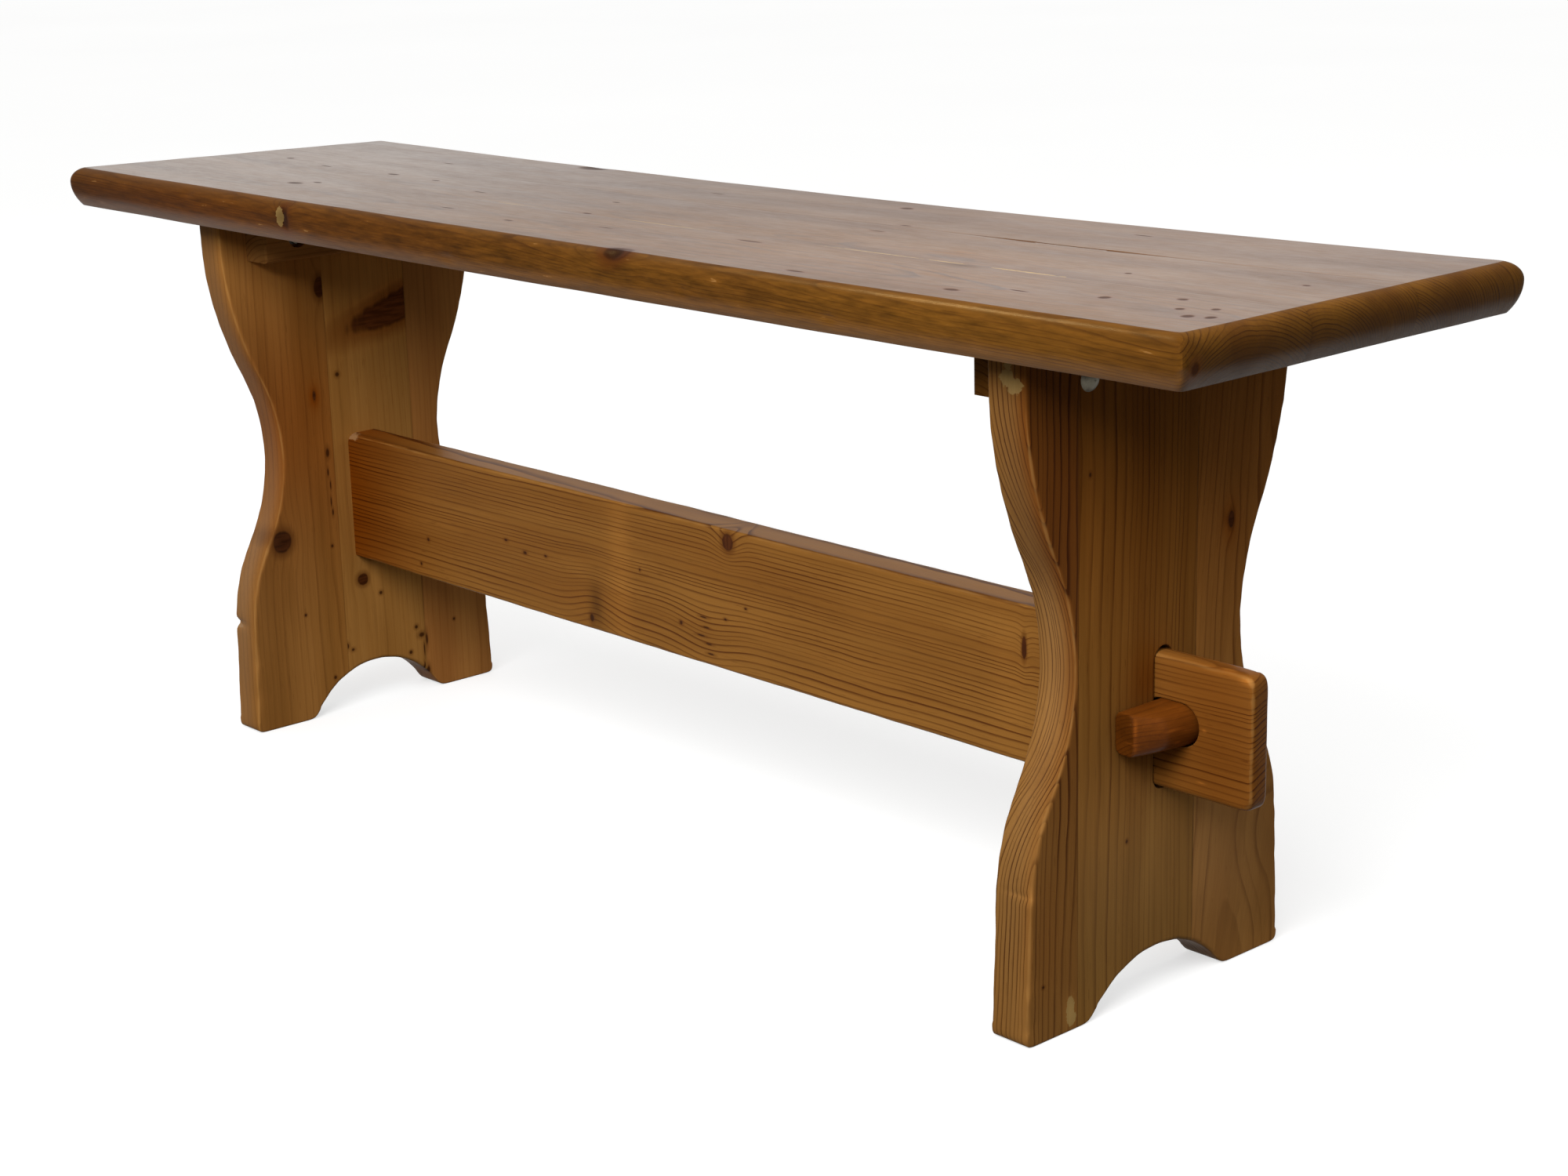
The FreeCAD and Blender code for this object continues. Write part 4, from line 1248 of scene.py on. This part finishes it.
def make_floor():
    """A white floor that keeps a soft shadow."""
    bpy.ops.mesh.primitive_plane_add(size=FLOOR_SIZE)
    floor = bpy.context.object
    floor.name = "floor"
    material, s = new_material("floor_white")
    mottle = s.noise(s.add("ShaderNodeTexCoord").outputs["Object"])
    matt = s.add("ShaderNodeBsdfDiffuse", s.mix(mottle, *FLOOR_LIT))
    pale = s.add("ShaderNodeBsdfDiffuse", s.mix(mottle, *FLOOR_SEEN))
    glow = s.add("ShaderNodeEmission")
    glow.inputs["Strength"].default_value = FLOOR_GLOW
    lit = s.add("ShaderNodeAddShader", pale.outputs[0], glow.outputs[0])
    mixed = s.add("ShaderNodeMixShader", background_seen(s), matt.outputs[0], lit.outputs[0])
    s.add("ShaderNodeOutputMaterial", mixed.outputs[0])
    paint(floor, material)


def make_surround():
    """A white surround that lights the bench more from overhead."""
    world = bpy.data.worlds.new("surround")
    bpy.context.scene.world = world
    world.use_nodes = True
    world.node_tree.nodes.clear()
    s = Shader(world.node_tree)
    height = s.parts(s.add("ShaderNodeTexCoord").outputs["Generated"])[2]
    soft = s.add("ShaderNodeBackground", WHITE, s.remap(height, *SURROUND))
    white = s.add("ShaderNodeBackground", WHITE, 1.0)
    mixed = s.add("ShaderNodeMixShader", background_seen(s), soft.outputs[0], white.outputs[0])
    s.add("ShaderNodeOutputWorld", mixed.outputs[0])


DAYLIGHT = (1.0, 1.0, 1.0)
GLINT_COLOUR = (1.0, 0.7, 0.3)
KEY_LIGHT = dict(place=(1.0, -2.0, 1.9), target=(0.0, 0.0, 0.2), size=(1.6, 1.2), power=77.0)
GLINT_LIGHT = dict(place=(-1.05, -0.14, 2.04), target=(0.45, -0.15, 0.446), size=(0.45, 0.3), power=38.0)


def make_light(name, place, target, size, power, glint=False):
    """A soft box that lights the wood, or a glint that only shows in its varnish."""
    lamp = bpy.data.lights.new(name, "AREA")
    lamp.shape = "RECTANGLE"
    lamp.size, lamp.size_y = size
    lamp.energy = power
    lamp.color = GLINT_COLOUR if glint else DAYLIGHT
    light = bpy.data.objects.new(name, lamp)
    light.location = place
    light.rotation_mode = "QUATERNION"
    light.rotation_quaternion = (Vector(target) - Vector(place)).to_track_quat("-Z", "Y")
    light.visible_diffuse = not glint
    light.visible_glossy = glint
    bpy.context.scene.collection.objects.link(light)


CAMERA_PLACE = (1.46282, -1.21125, 0.70167)
CAMERA_AZIMUTH = math.radians(48.2866)
CAMERA_ELEVATION = math.radians(15.4962)
CAMERA_ROLL = math.radians(-1.5430)
CAMERA_FOCAL_PIXELS = 3490.11
PHOTO_WIDTH_PIXELS = 2000
SENSOR_WIDTH = 36.0


def make_camera():
    """The camera at the photograph's place and angle."""
    ahead = Vector(
        (
            -math.sin(CAMERA_AZIMUTH) * math.cos(CAMERA_ELEVATION),
            math.cos(CAMERA_AZIMUTH) * math.cos(CAMERA_ELEVATION),
            -math.sin(CAMERA_ELEVATION),
        )
    )
    level = Vector((math.cos(CAMERA_AZIMUTH), math.sin(CAMERA_AZIMUTH), 0.0))
    upright = level.cross(ahead)
    right = math.cos(CAMERA_ROLL) * level + math.sin(CAMERA_ROLL) * upright
    up = math.cos(CAMERA_ROLL) * upright - math.sin(CAMERA_ROLL) * level
    lens = bpy.data.cameras.new("camera")
    lens.sensor_fit = "HORIZONTAL"
    lens.sensor_width = SENSOR_WIDTH
    lens.lens = CAMERA_FOCAL_PIXELS / PHOTO_WIDTH_PIXELS * SENSOR_WIDTH
    camera = bpy.data.objects.new("camera", lens)
    camera.matrix_world = Matrix((right, up, -ahead)).transposed().to_4x4()
    camera.location = CAMERA_PLACE
    bpy.context.scene.collection.objects.link(camera)
    bpy.context.scene.camera = camera


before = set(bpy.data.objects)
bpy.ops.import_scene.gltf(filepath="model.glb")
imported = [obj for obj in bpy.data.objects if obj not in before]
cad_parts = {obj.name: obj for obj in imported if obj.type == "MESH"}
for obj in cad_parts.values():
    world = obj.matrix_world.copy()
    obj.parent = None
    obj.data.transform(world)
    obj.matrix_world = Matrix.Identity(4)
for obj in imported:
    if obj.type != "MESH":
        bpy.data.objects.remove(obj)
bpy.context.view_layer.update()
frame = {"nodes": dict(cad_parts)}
dress(frame)
make_floor()
make_surround()
make_light("key", **KEY_LIGHT)
make_light("glint", **GLINT_LIGHT, glint=True)
make_camera()
bpy.context.scene.view_settings.view_transform = "Standard"
